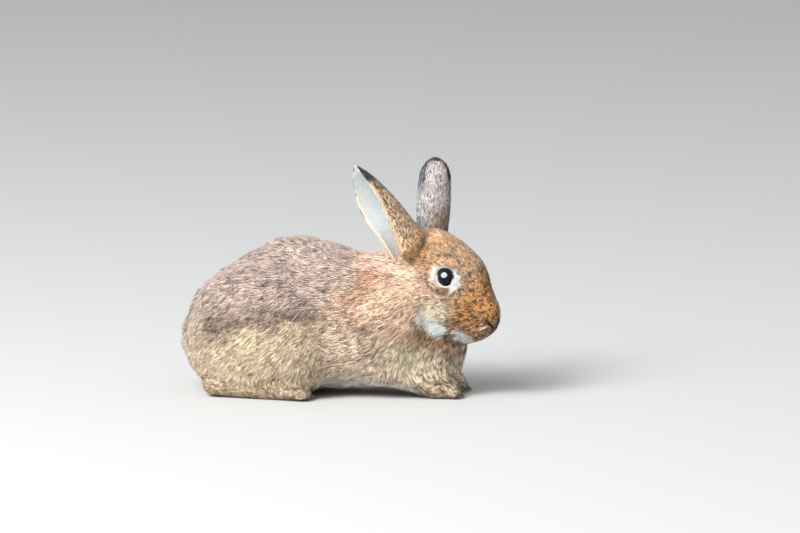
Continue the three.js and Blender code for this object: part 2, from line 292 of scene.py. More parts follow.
# %% [markdown]
# Small hollows are cut into the masses: a shallow dish round each eye, the nostrils, the cleft of
# the lip and the line of the mouth. A cut is the same sum as a melt, with both distances turned
# inside out.

# %% The hollows
EYE_AT = (0, 18.4, 0)
EYE_RADIUS = 9.6
EYE_DISH = ((0, 33.5, 0), (15, 11, 14), 5)   # middle, half-axes, melt
SEAMS = [  # grooves of nostril, lip and mouth in the head's frame, in pairs: ends, radii
    ((51.6, 2.6, -20.5), (46.8, 12.0, -15.8), (0.8, 1.4)),
    ((50.6, 0, -17.5), (48.2, 0, -25.0), (0.6, 0.7)),
    ((48.2, 0, -25.0), (46.2, 0, -32.0), (0.7, 0.9)),
    ((46.2, 0, -31.5), (30.0, 14.0, -35.5), (1.0, 0.6)),
]
SEAM_MELT = 1.4


def list_hollows():
    """Every hollow as (distance function, melt): a dish round each eye, then the grooves."""
    found = []
    middle, radii, melt = EYE_DISH
    for side in SIDES.values():
        found.append((placed(ellipsoid, on_head(flipped(middle, side)), radii, FACE_AXES), melt))
    for start, end, radii in SEAMS:
        for side in SIDES.values():
            ends = on_head(flipped(start, side)), on_head(flipped(end, side))
            found.append((placed(limb, *ends, radii), SEAM_MELT))
    return found


HOLLOWS = list_hollows()
print("hollows:", len(HOLLOWS))

# %% [markdown]
# A survey of a place asks every mass at once: how far the tips of the coat are, and which habits
# the coat has there. The skin lies deeper by the coat's depth, so the outline of the finished animal
# is that of the masses.

# %% The survey of a place
NEARNESS = 5.0   # how far a mass's habits reach past it
SHORT_COATS = [  # on the lids and the nose: place in the head's frame, reach of all and none of it, habits
    (EYE_AT, (13, 19), LID_FUR),
    (flipped(EYE_AT, RIGHT), (13, 19), LID_FUR),
    ((49, 0, -19), (7, 13), NOSE_FUR),
]


def melted(a, b, melt):
    """The nearer of two distances, less near * near * melt / 4 where they are within melt of each other."""
    near = np.maximum(melt - np.abs(a - b), 0) / melt
    return np.minimum(a, b) - near * near * melt / 4


def survey(points, columns=slice(0, 6)):
    """Distance to the tips of the coat, less than zero inside, and the blended habits of the coat."""
    surface, shares, total = None, 0, 0
    for distance, melt, row in MASSES:
        d = distance(points)
        surface = d if surface is None else melted(surface, d, melt)
        share = np.exp(-np.clip(d, -20, 60) / NEARNESS)
        shares = shares + share
        total = total + share[:, None] * row[columns]
    for distance, melt in HOLLOWS:
        surface = -melted(-surface, distance(points), melt)
    habits = total / shares[:, None]
    for place, reach, short in SHORT_COATS:
        near = ramp(*reach[::-1], np.linalg.norm(points - on_head(place), axis=1))
        sizes = habits[:, :3]
        habits[:, :3] = sizes + near[:, None] * (np.array(short)[columns][:3] - sizes)
    return surface, habits


# %% The level of the skin
LID_THICK = 0.9
LID_MELT = 4
EYE_OPENING = (14, 11.6, 0.6)   # a ball that bares the eye: how far out it sits, its radius, its melt


def skin_level(points):
    """Distance to the skin: inside the coat's tips by its depth, domed over the eyes, and open there."""
    surface, habits = survey(points, slice(0, 1))
    level = surface + habits[:, 0]
    outward, radius, melt = EYE_OPENING
    for side in SIDES.values():
        eye = on_head(flipped(EYE_AT, side))
        level = melted(level, np.linalg.norm(points - eye, axis=1) - EYE_RADIUS - LID_THICK, LID_MELT)
        outside = eye + outward * side * FACE_AXES[1]
        level = -melted(-level, np.linalg.norm(points - outside, axis=1) - radius, melt)
    return level


def slope(level, points, step=0.25):
    """The direction in which a level rises fastest, by differences along the three axes."""
    here = level(points)
    rises = [level(points + step * axis) - here for axis in np.eye(3)]
    return here, np.stack(rises, -1) / step


TOP_OF_BACK = np.array([[-36.0, 0.0, 133.0]])
print("from the top of the back out to the coat's tips and in to the skin:",
      np.round([survey(TOP_OF_BACK)[0][0], skin_level(TOP_OF_BACK)[0]], 1).tolist(), "mm")

# %% [markdown]
# ## The skin
# A closed surface is drawn where the skin's level is zero. OpenVDB walks a block of samples and
# lays quads along that level. The samples stand closer together at the head, where the forms are
# small, so one mesh serves the whole body with no seam. Only samples near the skin matter, so a
# rough survey finds those first. Two steps along the slope bring each corner exactly to the level.

# %% Sampling the skin
FINE, COARSE = 0.95, 2.0               # steps along the body: at the head, and from the shoulders back
FINE_ACROSS, COARSE_ACROSS = 1.15, 1.6
STEP_UP = 1.2
ROUGH = 3                              # every third sample is enough to tell which ones lie near
NEAR_SKIN = 8.25                       # nearer than this, the level is worked out exactly
BAND = 4.0                             # the grid holds levels up to this far from the skin
FLOOR_GAP = 0.4


def graded(start, end, step):
    """Places from start to end whose spacing is step(place)."""
    places = [start]
    while places[-1] < end:
        places.append(places[-1] + float(step(places[-1])))
    return np.array(places)


def levels_on(axes):
    """The skin's level at each crossing of three axes, exact near the skin and only its sign elsewhere."""
    block = np.stack(np.meshgrid(*axes, indexing="ij"), -1)
    rough = block[::ROUGH, ::ROUGH, ::ROUGH]
    level = skin_level(rough.reshape(-1, 3)).reshape(rough.shape[:3])
    for k, axis in enumerate(axes):
        level = np.repeat(level, ROUGH, axis=k).take(np.arange(len(axis)), axis=k)
    near = np.abs(level) < NEAR_SKIN
    level[near] = skin_level(block[near])
    return np.maximum(level, FLOOR_GAP - block[..., 2])


def draw_skin():
    """Corners, quads and outward directions of the body's skin."""
    axes = (graded(-140, 146, lambda x: blend(COARSE, FINE, ramp(20, 62, x))),
            graded(-70, 70, lambda y: blend(FINE_ACROSS, COARSE_ACROSS, ramp(34, 60, abs(y)))),
            graded(-3, 144, lambda z: STEP_UP))
    levels = levels_on(axes).clip(-BAND, BAND).astype(np.float32)
    grid = openvdb.FloatGrid(BAND)
    grid.copyFromArray(levels)
    corners, quads = grid.convertToQuads(0.0)
    corners = np.stack([np.interp(corners[:, k], np.arange(len(axis)), axis)
                        for k, axis in enumerate(axes)], -1)
    for _ in range(2):
        level, rise = slope(skin_level, corners)
        free = corners[:, 2] > 2 * FLOOR_GAP
        move = (level / np.maximum((rise * rise).sum(-1), 0.2)).clip(-1, 1) * free
        corners = corners - move[:, None] * rise
    return corners, quads.astype(np.int64), unit(slope(skin_level, corners)[1])


skin_corners, skin_quads, skin_normals = draw_skin()
print("skin:", len(skin_quads), "quads after", round(time.perf_counter() - BEGAN, 1), "s")

# %% [markdown]
# ## The ears
# An ear is a leaf of skin and gristle. Its cross-section is an arc that nearly closes at the root
# and opens towards the tip. A point on it takes two numbers: v from root to tip, and s across the
# arc from edge to edge. Going over the outer face and back over the inner one gives a closed shell.

# %% The sheet of an ear
# For each ear: its root and its tip. Which way the opening faces at both, the curl at root, middle
# and tip, and how far the middle bows out. The share of the length from which the leaf narrows, and
# how round its shoulder and its tip are. The name of its black, how tan its rim is, how white its
# tip is, and how strongly its back is flecked.
EARS = {
    "right": {"side": RIGHT, "root": (72.8, -11.9, 134.0), "tip": (14.3, -12.7, 195.6),
              "faces": (211, 213), "curl": (146, 93, 60), "bow": 3.0,
              "shoulder": 0.35, "round": 2.0, "point": 0.8,
              "black": "ear black", "tan rim": 0.8, "white tip": 1.0, "flecks": 3.2},
    "left": {"side": LEFT, "root": (77.7, 4.4, 122.0), "tip": (76.4, 26.9, 200.0),
             "faces": (117, 90), "curl": (177, 136, 50), "bow": 11.8,
             "shoulder": 0.38, "round": 1.3, "point": 0.62,
             "black": "far black", "tan rim": 0.0, "white tip": 0.0, "flecks": 1.5},
}
EAR_HALF = 33.2            # from the middle line to an edge, round the arc of the bare ear
EAR_TIP_HAIR = 1.2         # how far the hair stands beyond the tip of the bare ear
EAR_WALL = 1.0             # half the thickness of the bare ear
EAR_ROOT_SHARE = 1.25      # the sheet is wider where it is rolled into a tube
EAR_SUNK = 0.22            # share of its length that goes on below its root
EAR_SEAT = (-28, 9, -10)   # where the sunk root of the left ear ends, in the head's frame
EAR_SEATING = 1.1          # power with which the sunk part draws in to its seat


def ear_width(ear, v):
    """Share of the leaf's width at v: 1 at the shoulder, then (1 - past ** round) ** point."""
    settled = np.sin(np.pi / 2 * np.clip(v / ear["shoulder"], 0, 1))
    past = np.maximum(v - ear["shoulder"], 0) / (1 - ear["shoulder"])
    return blend(EAR_ROOT_SHARE, 1, settled) * (1 - past ** ear["round"]) ** ear["point"]


def ear_axes(ear, v=0.0):
    """The ear's length, and its directions: along, to the side, and out of its opening, by v."""
    along = np.subtract(ear["tip"], ear["root"]).astype(float)
    length = np.linalg.norm(along)
    along = along / length
    turn = np.radians(blend(*ear["faces"], np.asarray(v)))
    facing = np.stack([np.cos(turn), np.sin(turn), 0 * turn], -1)
    facing = unit(facing - (facing @ along)[..., None] * along)
    return length - EAR_TIP_HAIR, along, np.cross(along, facing), facing


def ear_curl(ear, v):
    """How far each side of the section curls round, in radians: a parabola through three values."""
    root, middle, tip = np.radians(ear["curl"])
    return root * (1 - v) * (1 - 2 * v) + middle * 4 * v * (1 - v) + tip * v * (2 * v - 1)


def ear_point(ear, v, s, proud):
    """The arc's middle line at v, plus (radius + proud) turned by curl * s about the arc's centre.

    Below the root, where v is less than zero, the last section draws in to the seat of the ear.
    """
    above = np.maximum(v, 0)
    length, along, across, facing = ear_axes(ear, above)
    curled = ear_curl(ear, above)
    radius = np.maximum(EAR_HALF * ear_width(ear, above), 0.4) / curled
    angle = curled * s
    reach = radius + proud
    sag = radius - reach * np.cos(angle) - ear["bow"] * 4 * above * (1 - above)
    place = (np.asarray(ear["root"], float) + (length * v)[..., None] * along
             + (reach * np.sin(angle))[..., None] * across + sag[..., None] * facing)
    seated = (np.maximum(-v / EAR_SUNK, 0) ** EAR_SEATING)[..., None]
    return blend(place, on_head(flipped(EAR_SEAT, ear["side"])), seated)


def ear_sides(turn):
    """Of turns round the shell: s, from edge to edge, and 1 on the outer face or 0 on the inner one."""
    return np.cos(2 * np.pi * turn), (np.sin(2 * np.pi * turn) > 0).astype(float)


def ear_shell(ear, v, turn):
    """A place on the closed shell: turn 0 to 1 runs over the outer face and back over the inner one.

    The wall is rounded at the edges, and over the last fifth of the length it thins towards the tip.
    """
    thinning = np.minimum(1, 5 * (1 - v) + 0.15)
    side = np.sin(2 * np.pi * turn)
    proud = EAR_WALL * np.sign(side) * np.abs(side) ** 0.5 * thinning
    return ear_point(ear, v, ear_sides(turn)[0], proud)


# %% [markdown]
# The ears, the eyeballs and later the whiskers and claws are all rows of closed rings. Quads join
# each ring to the next, and a point in the middle of each end ring closes the shape.

# %% Rings made closed tubes
def grid_quads(rows, columns):
    """Quads of a grid whose columns close round, for corners numbered row by row."""
    row, column = np.meshgrid(np.arange(rows - 1), np.arange(columns), indexing="ij")
    here, beside = row * columns + column, row * columns + (column + 1) % columns
    return np.stack([here, beside, beside + columns, here + columns], -1).reshape(-1, 4)


def closed_tube(rings):
    """Corners and quads of rings of points, with a point at the middle of each end to close it."""
    rows, columns, _ = rings.shape
    corners = np.concatenate([rings.reshape(-1, 3), rings[:1].mean(1), rings[-1:].mean(1)])
    start = np.arange(columns)
    beside = (start + 1) % columns
    first, last = rows * columns, rows * columns + 1
    far = (rows - 1) * columns
    ends = [np.stack([np.full(columns, first), beside, start, start], -1),
            np.stack([np.full(columns, last), far + start, far + beside, far + beside], -1)]
    return corners, np.concatenate([grid_quads(rows, columns), *ends])


# %% The shells of the ears
EAR_GRID = (84, 72)
EAR_V = np.linspace(-0.98 * EAR_SUNK, 0.9995, EAR_GRID[0])
EAR_TURN = np.arange(EAR_GRID[1]) / EAR_GRID[1]
ear_shells = {}
for name, ear in EARS.items():
    v, turn = np.meshgrid(EAR_V, EAR_TURN, indexing="ij")
    ear_shells[name] = closed_tube(ear_shell(ear, v, turn))
    print("ear", name, "length", round(ear_axes(ear)[0], 1), "mm")

# %% [markdown]
# ## Colours
# A wild-coloured rabbit is a map of soft-edged fields: grey on the back, orange at the nape and
# shoulders, russet on the head, cream on the belly, the jaw and round the eyes. One function of
# place gives that colour. The skin and every lock of fur ask the same function, so the markings
# agree through the whole depth of the coat.

# %% The palette
SCREEN_COLOURS = {  # red, green and blue as on a screen, 0 to 255
    # trunk, limbs and tail; the dark band over the thigh is painted shade
    "back": (206, 183, 171), "rump": (222, 200, 172), "crease_shade": (146, 122, 102),
    "side": (218, 192, 168), "haunch": (142, 119, 105), "pale haunch": (236, 212, 180),
    "nape": (248, 210, 188), "orange": (212, 168, 138), "belly": (232, 222, 206),
    # head; painted shade in the brown below the eyes, the grooves' dark, part of the nose and the jaw's
    # blue
    "chest": (248, 230, 198), "feet": (214, 188, 158), "tail": (176, 158, 138),
    # head
    "crown": (206, 162, 118), "forehead": (182, 148, 116), "bridge": (190, 138, 88),
    "muzzle": (172, 124, 72), "cheek": (250, 230, 200), "temple": (244, 208, 178),
    "snout": (194, 142, 80), "fold_shade": (112, 76, 50), "jaw in shade": (240, 250, 246),
    "eye ring": (244, 238, 232), "nostril": (240, 220, 196), "nose": (118, 84, 62),
    "slit_shade": (50, 34, 28), "dark lid": (40, 32, 30), "pink lid": (208, 188, 190),
    # ears; the pale inside is tinted blue-grey as painted shade
    "ear back": (198, 166, 134), "ear root": (206, 166, 124), "far ear": (212, 200, 198),
    "far root": (178, 156, 134), "ear inside in shade": (200, 207, 209), "ear depth": (216, 196, 178),
    "ear edge": (236, 214, 186), "ear tip": (240, 232, 222), "ear rim": (214, 180, 140),
    "ear black": (30, 28, 34), "far black": (56, 60, 78),
    # horn
    "whisker": (206, 194, 180), "claw": (92, 74, 62),
}


def linear(screen):
    """A colour written as on a screen, in the even scale that light is reckoned in."""
    share = np.array(screen) / 255
    return np.where(share < 0.04045, share / 12.92, ((share + 0.055) / 1.055) ** 2.4)


PALETTE = {name: linear(screen) for name, screen in SCREEN_COLOURS.items()}
print("colours:", len(PALETTE))


# %% Fields of colour
def layer(colours, name, share):
    """Colours with a named one laid over them, as thickly as share says."""
    return colours + (PALETTE[name] - colours) * np.clip(share, 0, 1)[:, None]


def ball(q, middle, radii, soft=0.35):
    """1 inside an ellipsoid of the head's frame and 0 outside, with a soft edge."""
    far = np.sqrt((((q - middle) / radii) ** 2).sum(-1))
    return 1 - ramp(1 - soft, 1 + soft, far)


# %% [markdown]
# On the trunk a wavy waistline parts the grey back from the pale side. Each field fades in over some
# centimetres, and a broad drift of the place keeps every border from running straight.

# %% The markings of the body
WAIST = ((-115, -60, -10), (44, 65, 69))   # height of the border of back and side, along the body


def body_colours(points, normals):
    """The markings of trunk, limbs and tail, and a band of painted shade over the thigh."""
    x, y, z = (points + 5 * drift(points, 16, 3)).T
    over = z - np.interp(x, *WAIST)
    high = ramp(-8, 9, over)
    colours = np.repeat(PALETTE["side"][None], len(points), 0)
    colours = layer(colours, "pale haunch", (1 - high) * ramp(12, -24, x))
    colours = layer(colours, "rump", high * ramp(18, -26, x))
    on_thigh = ramp(8, -20, x) * ramp(-114, -88, x) * ramp(92, 76, z)
    colours = layer(colours, "haunch", 0.9 * high * on_thigh)
    slanted = x - 0.6 * (z - 100)              # the grey of the back reaches farther forward higher up
    colours = layer(colours, "back", high * ramp(26, -14, slanted) * ramp(54, 96, z))
    # painted shade: a darker band in the crease just over the waistline, above the thigh
    crease_shade = ramp(-2, 3, over) * ramp(14, 6, over) * ramp(-70, -50, x) * ramp(-4, -16, x)
    colours = layer(colours, "crease_shade", 0.3 * crease_shade)
    colours = layer(colours, "orange", ramp(8, 36, slanted) * ramp(60, 84, z))
    colours = layer(colours, "nape", 0.95 * ramp(16, 34, x) * ramp(102, 110, z) * ramp(66, 50, x))
    colours = layer(colours, "chest", ramp(34, 66, x) * ramp(60, 40, z))
    colours = layer(colours, "belly", ramp(-0.35, -0.8, normals[:, 2]) * ramp(40, 20, z))
    colours = layer(colours, "feet", ramp(22, 14, z) * ramp(26, 34, np.abs(y)) * ramp(0, -20, x))
    colours = layer(colours, "feet", ramp(26, 16, z) * ramp(62, 76, x))
    tail = ramp(-108, -118, x) * ramp(30, 22, np.abs(y))
    colours = layer(colours, "tail", tail * ramp(40, 54, z))
    return layer(colours, "belly", tail * ramp(-0.2, -0.6, normals[:, 2]) * ramp(46, 40, z))


# %% [markdown]
# The head has its own frame, so its fields are balls and lines there and turn with it: white along
# the jaw and round the eyes, russet over nose and muzzle, and dark rows where the whiskers stand.
# Painted shade darkens the hollow under each eye, the grooves of nose and mouth and the nose's front.

# %% The markings of the head
def seam_distance(points):
    """Distance from the grooves of nostril, lip and mouth."""
    q = in_head(points)
    folded = np.stack([q[:, 0], np.abs(q[:, 1]), q[:, 2]], -1)
    return np.min([limb(folded, *seam) for seam in SEAMS], axis=0)


def eye_ring(points):
    """Shares of the pale oval round each eye, slanting down in front, and of painted shade below it."""
    ring, fold_shade = 0, 0
    for side in SIDES.values():
        away = points - on_head(flipped(EYE_AT, side))
        ahead, above = away @ HEADING, away[:, 2]
        slanted = above + 0.28 * ahead
        far = np.sqrt(((ahead - 1.0) / 12.4) ** 2 + ((slanted + 1.0) / 10.2) ** 2)
        same_side = np.sign(away @ FACE_AXES[1]) == side
        below = ramp(9.5, 5.0, np.abs(ahead + 3.0)) * ramp(-7.4, -8.8, above)   # only the lid is pale there
        ring = ring + ramp(1.14, 0.88, far) * (1 - below) * same_side
        fold_shade = fold_shade + below * ramp(-14, -11, above) * same_side
    return ring, fold_shade


PALE_PATCHES = [  # white hair along the jaw, beside the chin and under it: ends and radius
    ((4, 36, -34.8), (21, 24.5, -39.4), 5.6),
    ((34, 17, -37), (41.5, 8.5, -39.5), 5.2),
    ((20, 0, -48), (32, 0, -46), 4.0),
]
PATCH_EDGE = (2.8, -2.4)   # the white of a patch begins outside its border and is full inside it
ROW_GAP = 4.0              # from one dark row of the muzzle to the next


def head_colours(points):
    """The head's markings and painted shade, in its own frame: forward, left and up from between the eyes.
    """
    q = in_head(points) + 1.6 * drift(points, 7, 4)
    f, u = q[:, 0], q[:, 2]
    folded = np.stack([f, np.abs(q[:, 1]), u], -1)
    colours = np.repeat(PALETTE["forehead"][None], len(points), 0)
    colours = layer(colours, "crown", ramp(-6, -22, f))
    colours = layer(colours, "temple", ramp(6, -8, f) * ramp(4, -12, u))
    colours = layer(colours, "bridge", ramp(14, 30, f) * ramp(-18, -8, u))
    colours = layer(colours, "cheek", ball(folded, (13, 31, -28), (14, 16, 12), 0.6))
    colours = layer(colours, "muzzle", ball(folded, (33, 18, -21), (14, 14, 14), 0.45))
    # dark rows where the whiskers stand, in the same brown as the painted shade below the eyes
    rows = ramp(0.1, 0.9, np.sin((u + 0.45 * f) * 2 * np.pi / ROW_GAP))
    colours = layer(colours, "fold_shade", 0.38 * rows * ball(folded, (34, 17, -24), (10, 10, 10), 0.3))
    colours = layer(colours, "snout", ball(folded, (46, 0, -9), (10, 13, 9), 0.4))
    # the white hair of jaw and chin, its colour tinted cool blue-grey as painted shade
    for start, end, radius in PALE_PATCHES:
        colours = layer(colours, "jaw in shade", ramp(*PATCH_EDGE, limb(folded, start, end, (radius, radius))))
    colours = layer(colours, "nostril", ball(folded, (46.6, 14.3, -20.4), (2.3, 4, 2.8), 0.4))
    # the darker front of the nose: partly its own darker skin, partly painted shade under the nostrils
    colours = layer(colours, "nose", 0.8 * ball(folded, (53, 0, -21), (5, 7, 8), 0.3))
    # painted shade: the dark inside the grooves of nostril, lip and mouth
    colours = layer(colours, "slit_shade", ramp(1.2, 0.2, seam_distance(points)))
    ring, fold_shade = eye_ring(points)
    # painted shade in the fold under each eye
    colours = layer(colours, "fold_shade", 0.5 * fold_shade)
    return layer(colours, "eye ring", ring)


def markings(points, normals):
    """The colour of the coat anywhere but on the ears."""
    q = in_head(points)
    on_face = ramp(-44, -30, q[:, 0] - 0.25 * (q[:, 2] + 20)) * ramp(-64, -50, q[:, 2])
    return blend(body_colours(points, normals), head_colours(points), on_face[:, None])


# %% [markdown]
# The two ears show different sides. The back of the right one is ticked tan with a black tip, and
# the left one is greyer, with black all round its rim. Inside, both are pale and nearly bare, with a
# blue-grey tint of painted shade.

# %% The markings of the ears
def ear_back(ear, v, s):
    """The colours of an ear's back, and the share of black over them, at the tip or round the rim."""
    if ear["side"] == RIGHT:
        colours = np.repeat(PALETTE["ear back"][None], len(v), 0)
        colours = layer(colours, "ear root", ramp(0.16, 0.0, v))
        return layer(colours, "ear black", 0.6 * ramp(0.45, 0.8, v)), ramp(0.7, 0.78, v)
    angle = np.degrees(ear_curl(ear, v)) * s
    colours = np.repeat(PALETTE["far ear"][None], len(v), 0)
    colours = layer(colours, "far root", ramp(0.5, 0.3, v) * ramp(50, -10, angle))
    colours = layer(colours, "ear inside in shade", 0.5 * ramp(28, 44, angle))
    front = 0.8 * ramp(28, 42, angle) * ramp(0.5, 0.78, v)
    rear = ramp(-52, -66, angle) * ramp(0.68, 0.76, v)
    rim = ramp(0.62, 0.8, np.abs(s)) * ramp(0.76, 0.86, v)
    tip = ramp(6.0, 4.0, (1 - v) * ear_axes(ear)[0])
    return colours, np.max([front, rear, rim, tip], axis=0)


def ear_markings(ear, v, s, outer):
    """The colour of an ear: ticked back, pale inside, pale edge hair, and black beside the tip."""
    edge, inside = np.abs(s), 1 - outer
    colours, black = ear_back(ear, v, s)
    colours = layer(colours, "ear rim", ear["tan rim"] * ramp(0.86, 0.95, edge))
    midway = ramp(0.84, 0.76, v) * ramp(0.0, 0.5, v)
    colours = layer(colours, "ear edge", 0.8 * ramp(0.93, 0.98, edge) * midway)
    colours = layer(colours, ear["black"], black * outer)
    # the pale inside, tinted blue-grey as painted shade
    colours = layer(colours, "ear inside in shade", inside)
    colours = layer(colours, "ear depth", inside * ramp(0.4, 0.05, v) * ramp(0.9, 0.6, edge))
    colours = layer(colours, "ear edge", inside * ramp(0.965, 0.99, edge) * ramp(0.85, 0.7, v))
    colours = layer(colours, "ear tip", 0.4 * inside * ramp(0.4, 0.95, edge) * ramp(0.2, 0.5, v))
    whitened = v + 0.03 * inside - 0.03 * outer
    return layer(colours, "ear tip", ear["white tip"] * ramp(0.93, 0.96, whitened))


# %% [markdown]
# ## From numbers to meshes
# A mesh is filled from whole arrays at once. Colours and the place across and along a lock go
# along as attributes, which a material reads by name.

# %% Filling a mesh
pieces = []


def store(mesh, name, kind, field, values):
    """Gives the mesh a named attribute with one value for each corner."""
    mesh.attributes.new(name, kind, "POINT").data.foreach_set(field, values.astype(np.float32).ravel())


def build(name, corners, faces, material, colours=None, strand=None, chart=None):
    """A mesh of faces with equally many corners each, its attributes, and its bake map."""
    mesh = bpy.data.meshes.new(name)
    mesh.vertices.add(len(corners))
    mesh.vertices.foreach_set("co", (corners * MM).astype(np.float32).ravel())
    mesh.loops.add(faces.size)
    mesh.loops.foreach_set("vertex_index", faces.astype(np.int32).ravel())
    mesh.polygons.add(len(faces))
    mesh.polygons.foreach_set("loop_start", np.arange(0, faces.size, faces.shape[1], dtype=np.int32))
    mesh.update(calc_edges=True)
    mesh.shade_smooth()
    if colours is not None:
        opaque = np.concatenate([colours, np.ones((len(colours), 1))], -1)
        store(mesh, "fur", "FLOAT_COLOR", "color", opaque)
    if strand is not None:
        store(mesh, "strand", "FLOAT_VECTOR", "vector", strand)
    if chart is not None:
        mesh.uv_layers.new(name="OFBake").uv.foreach_set("vector", chart.astype(np.float32).ravel())
    mesh.validate()
    mesh.materials.append(material)
    body = bpy.data.objects.new(name, mesh)
    bpy.context.scene.collection.objects.link(body)
    pieces.append(body)
    return body


# %% [markdown]
# ## Finishes
# Shader sums read like sums when the sockets of nodes know how to add and multiply. One small
# class does that, and one method of a second class makes any other node.

# %% Sums of sockets
class Wire:
    """A node's output that can be added and multiplied, each of which makes a Math node."""

    def __init__(self, sheet, socket):
        self.sheet, self.socket = sheet, socket

    def maths(self, operation, other):
        """This output and another, or a number, put through one operation."""
        return self.sheet.node("ShaderNodeMath", {"operation": operation}, {0: self, 1: other})

    def __add__(self, other):
        return self.maths("ADD", other)

    def __mul__(self, other):
        return self.maths("MULTIPLY", other)

    __radd__, __rmul__ = __add__, __mul__


# %% Materials
class Finish:
    """A material whose main shader takes constants by name and wires where it varies."""

    def __init__(self, name, **constants):
        self.material = bpy.data.materials.new(name)
        self.material.use_nodes = True
        self.tree = self.material.node_tree
        self.shader = self.tree.nodes["Principled BSDF"]
        for socket, value in constants.items():
            self.plug(self.shader.inputs[socket.replace("_", " ")], value)

    def plug(self, socket, value):
        """Links a wire to a socket, or sets the socket's own value."""
        if isinstance(value, Wire):
            self.tree.links.new(value.socket, socket)
        else:
            socket.default_value = (*value, 1) if socket.type == "RGBA" else value

    def node(self, kind, settings, values, output=0):
        """A node of any kind with its settings, the values or wires of its inputs, and one output."""
        made = self.tree.nodes.new(kind)
        for key, value in settings.items():
            setattr(made, key, value)
        for key, value in values.items():
            self.plug(made.inputs[key], value)
        return Wire(self, made.outputs[output])

    def attribute(self, name, output):
        return self.node("ShaderNodeAttribute", {"attribute_name": name}, {}, output)

    def places(self):
        return self.node("ShaderNodeTexCoord", {}, {}, "Object")

    def parts(self, vector):
        """The three numbers of a vector."""
        whole = self.node("ShaderNodeSeparateXYZ", {}, {0: vector})
        return [Wire(self, output) for output in whole.socket.node.outputs]

    def noise(self, where, scale, detail=2.0):
        return self.node("ShaderNodeTexNoise", {}, {"Vector": where, "Scale": scale, "Detail": detail})

    def shaded(self, colour, share):
        """A colour times a number."""
        return self.node("ShaderNodeVectorMath", {"operation": "SCALE"}, {0: colour, "Scale": share})

    def coloured(self, colour):
        """Gives the shader its colour."""
        self.plug(self.shader.inputs["Base Color"], colour)

    def bumped(self, height, depth, strength):
        """Raises and sinks the look of the surface by a height, in metres of depth."""
        inputs = {"Height": height, "Distance": depth, "Strength": strength}
        self.plug(self.shader.inputs["Normal"], self.node("ShaderNodeBump", {}, inputs))


# %% [markdown]
# A lock is a bundle of hairs. Its mesh gives the bundle's outline, and fine streaks along it stand
# for the single hairs: a noise stretched along the lock, with its own part for each lock.

# %% The finishes of coat and skin
def fur_finish(name, roughness, sheen):
    """Fur: the lock's own colours times streaks that run along it, other ones on each lock."""
    fur = Finish(name, Roughness=roughness, Specular_IOR_Level=0.25, Sheen_Weight=sheen,
                 Sheen_Roughness=0.5)
    across, along, own = fur.parts(fur.attribute("strand", "Vector"))
    where = fur.node("ShaderNodeCombineXYZ", {}, {0: across * 2.6 + own * 61, 1: along * 1.4, 2: own * 17})
    streak = fur.noise(where, 1.0, 3.0)
    fur.coloured(fur.shaded(fur.attribute("fur", "Color"), 0.64 + 0.72 * streak))
    fur.bumped(streak, 0.0004, 0.5)
    return fur.material


def skin_finish(name, roughness, specular, grain, shares, depth, strength):
    """Bare or short-haired skin: its own colours between two shares of themselves, by a fine grain."""
    skin = Finish(name, Roughness=roughness, Specular_IOR_Level=specular)
    nap = skin.noise(skin.places(), grain)
    low, high = shares
    skin.coloured(skin.shaded(skin.attribute("fur", "Color"), low + (high - low) * nap))
    skin.bumped(nap, depth, strength)
    return skin.material


BODY_COAT = fur_finish("body_coat", 0.72, 0.25)
EAR_COAT = fur_finish("ear_coat", 0.68, 0.2)
SKIN = skin_finish("skin", 0.7, 0.3, 900, (0.8, 1.2), 0.0004, 0.6)
LID = skin_finish("lid", 0.5, 0.4, 1500, (0.85, 1.15), 0.0002, 0.5)
print("finishes:", len(bpy.data.materials))

# %% [markdown]
# ## One skin
# The body and both ears are one piece, dressed in their markings darkened as painted shade, so that
# gaps between locks read as deep fur.

# %% Building the skin
# painted shade: the skin is darker than its coat, so the gaps between locks read as deep
SKIN_SHADE = 0.55                   # tone of the body's skin against its coat
EAR_INSIDE_SHADE, EAR_BACK_SHADE = 0.9, 0.7    # and of the ear's two faces


def joined(parts):
    """Corners, quads and colours of several parts as one."""
    starts = np.cumsum([0] + [len(corners) for corners, _, _ in parts[:-1]])
    quads = [faces + start for start, (_, faces, _) in zip(starts, parts)]
    corners, _, colours = zip(*parts)
    return np.concatenate(corners), np.concatenate(quads), np.concatenate(colours)


parts = [(skin_corners, skin_quads, markings(skin_corners, skin_normals) * SKIN_SHADE)]
for name, (corners, quads) in ear_shells.items():
    v = np.append(np.repeat(EAR_V, EAR_GRID[1]), [0, 1])
    s, outer = ear_sides(np.append(np.tile(EAR_TURN, EAR_GRID[0]), [0, 0]))
    shade = ear_markings(EARS[name], v, s, outer)
    parts.append((corners, quads, shade * blend(EAR_INSIDE_SHADE, EAR_BACK_SHADE, outer)[:, None]))
corners, quads, shades = joined(parts)
skin = build("skin", corners, quads, SKIN, shades)
flesh_nodes = [node for node in frame["nodes"] if not node.startswith("eye_")]
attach(skin, "root")
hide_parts(*flesh_nodes)
print("skin with ears:", len(quads), "quads")

# %% [markdown]
# ## Eyes and lids
# The ball of the eye sits deep between the brow and the cheekbone. Only a round opening of it
# shows. The clear front bulges a little, which makes the highlight small and sharp. The lids are a
# ring of soft skin that hugs the ball: dark above, pink below, with a small corner in front.

# %% The eyeballs
EYE_GRID = (60, 72)
BALL_LESS = 0.3           # how much smaller the ball is than its hollow under the lids
CORNEA = 0.5              # how far the clear front bulges
PUPIL = np.array([0.0004, 0.0006, 0.0010])
IRIS = np.array([0.0012, 0.0009, 0.0008])
WHITE = np.array([0.08, 0.06, 0.05])


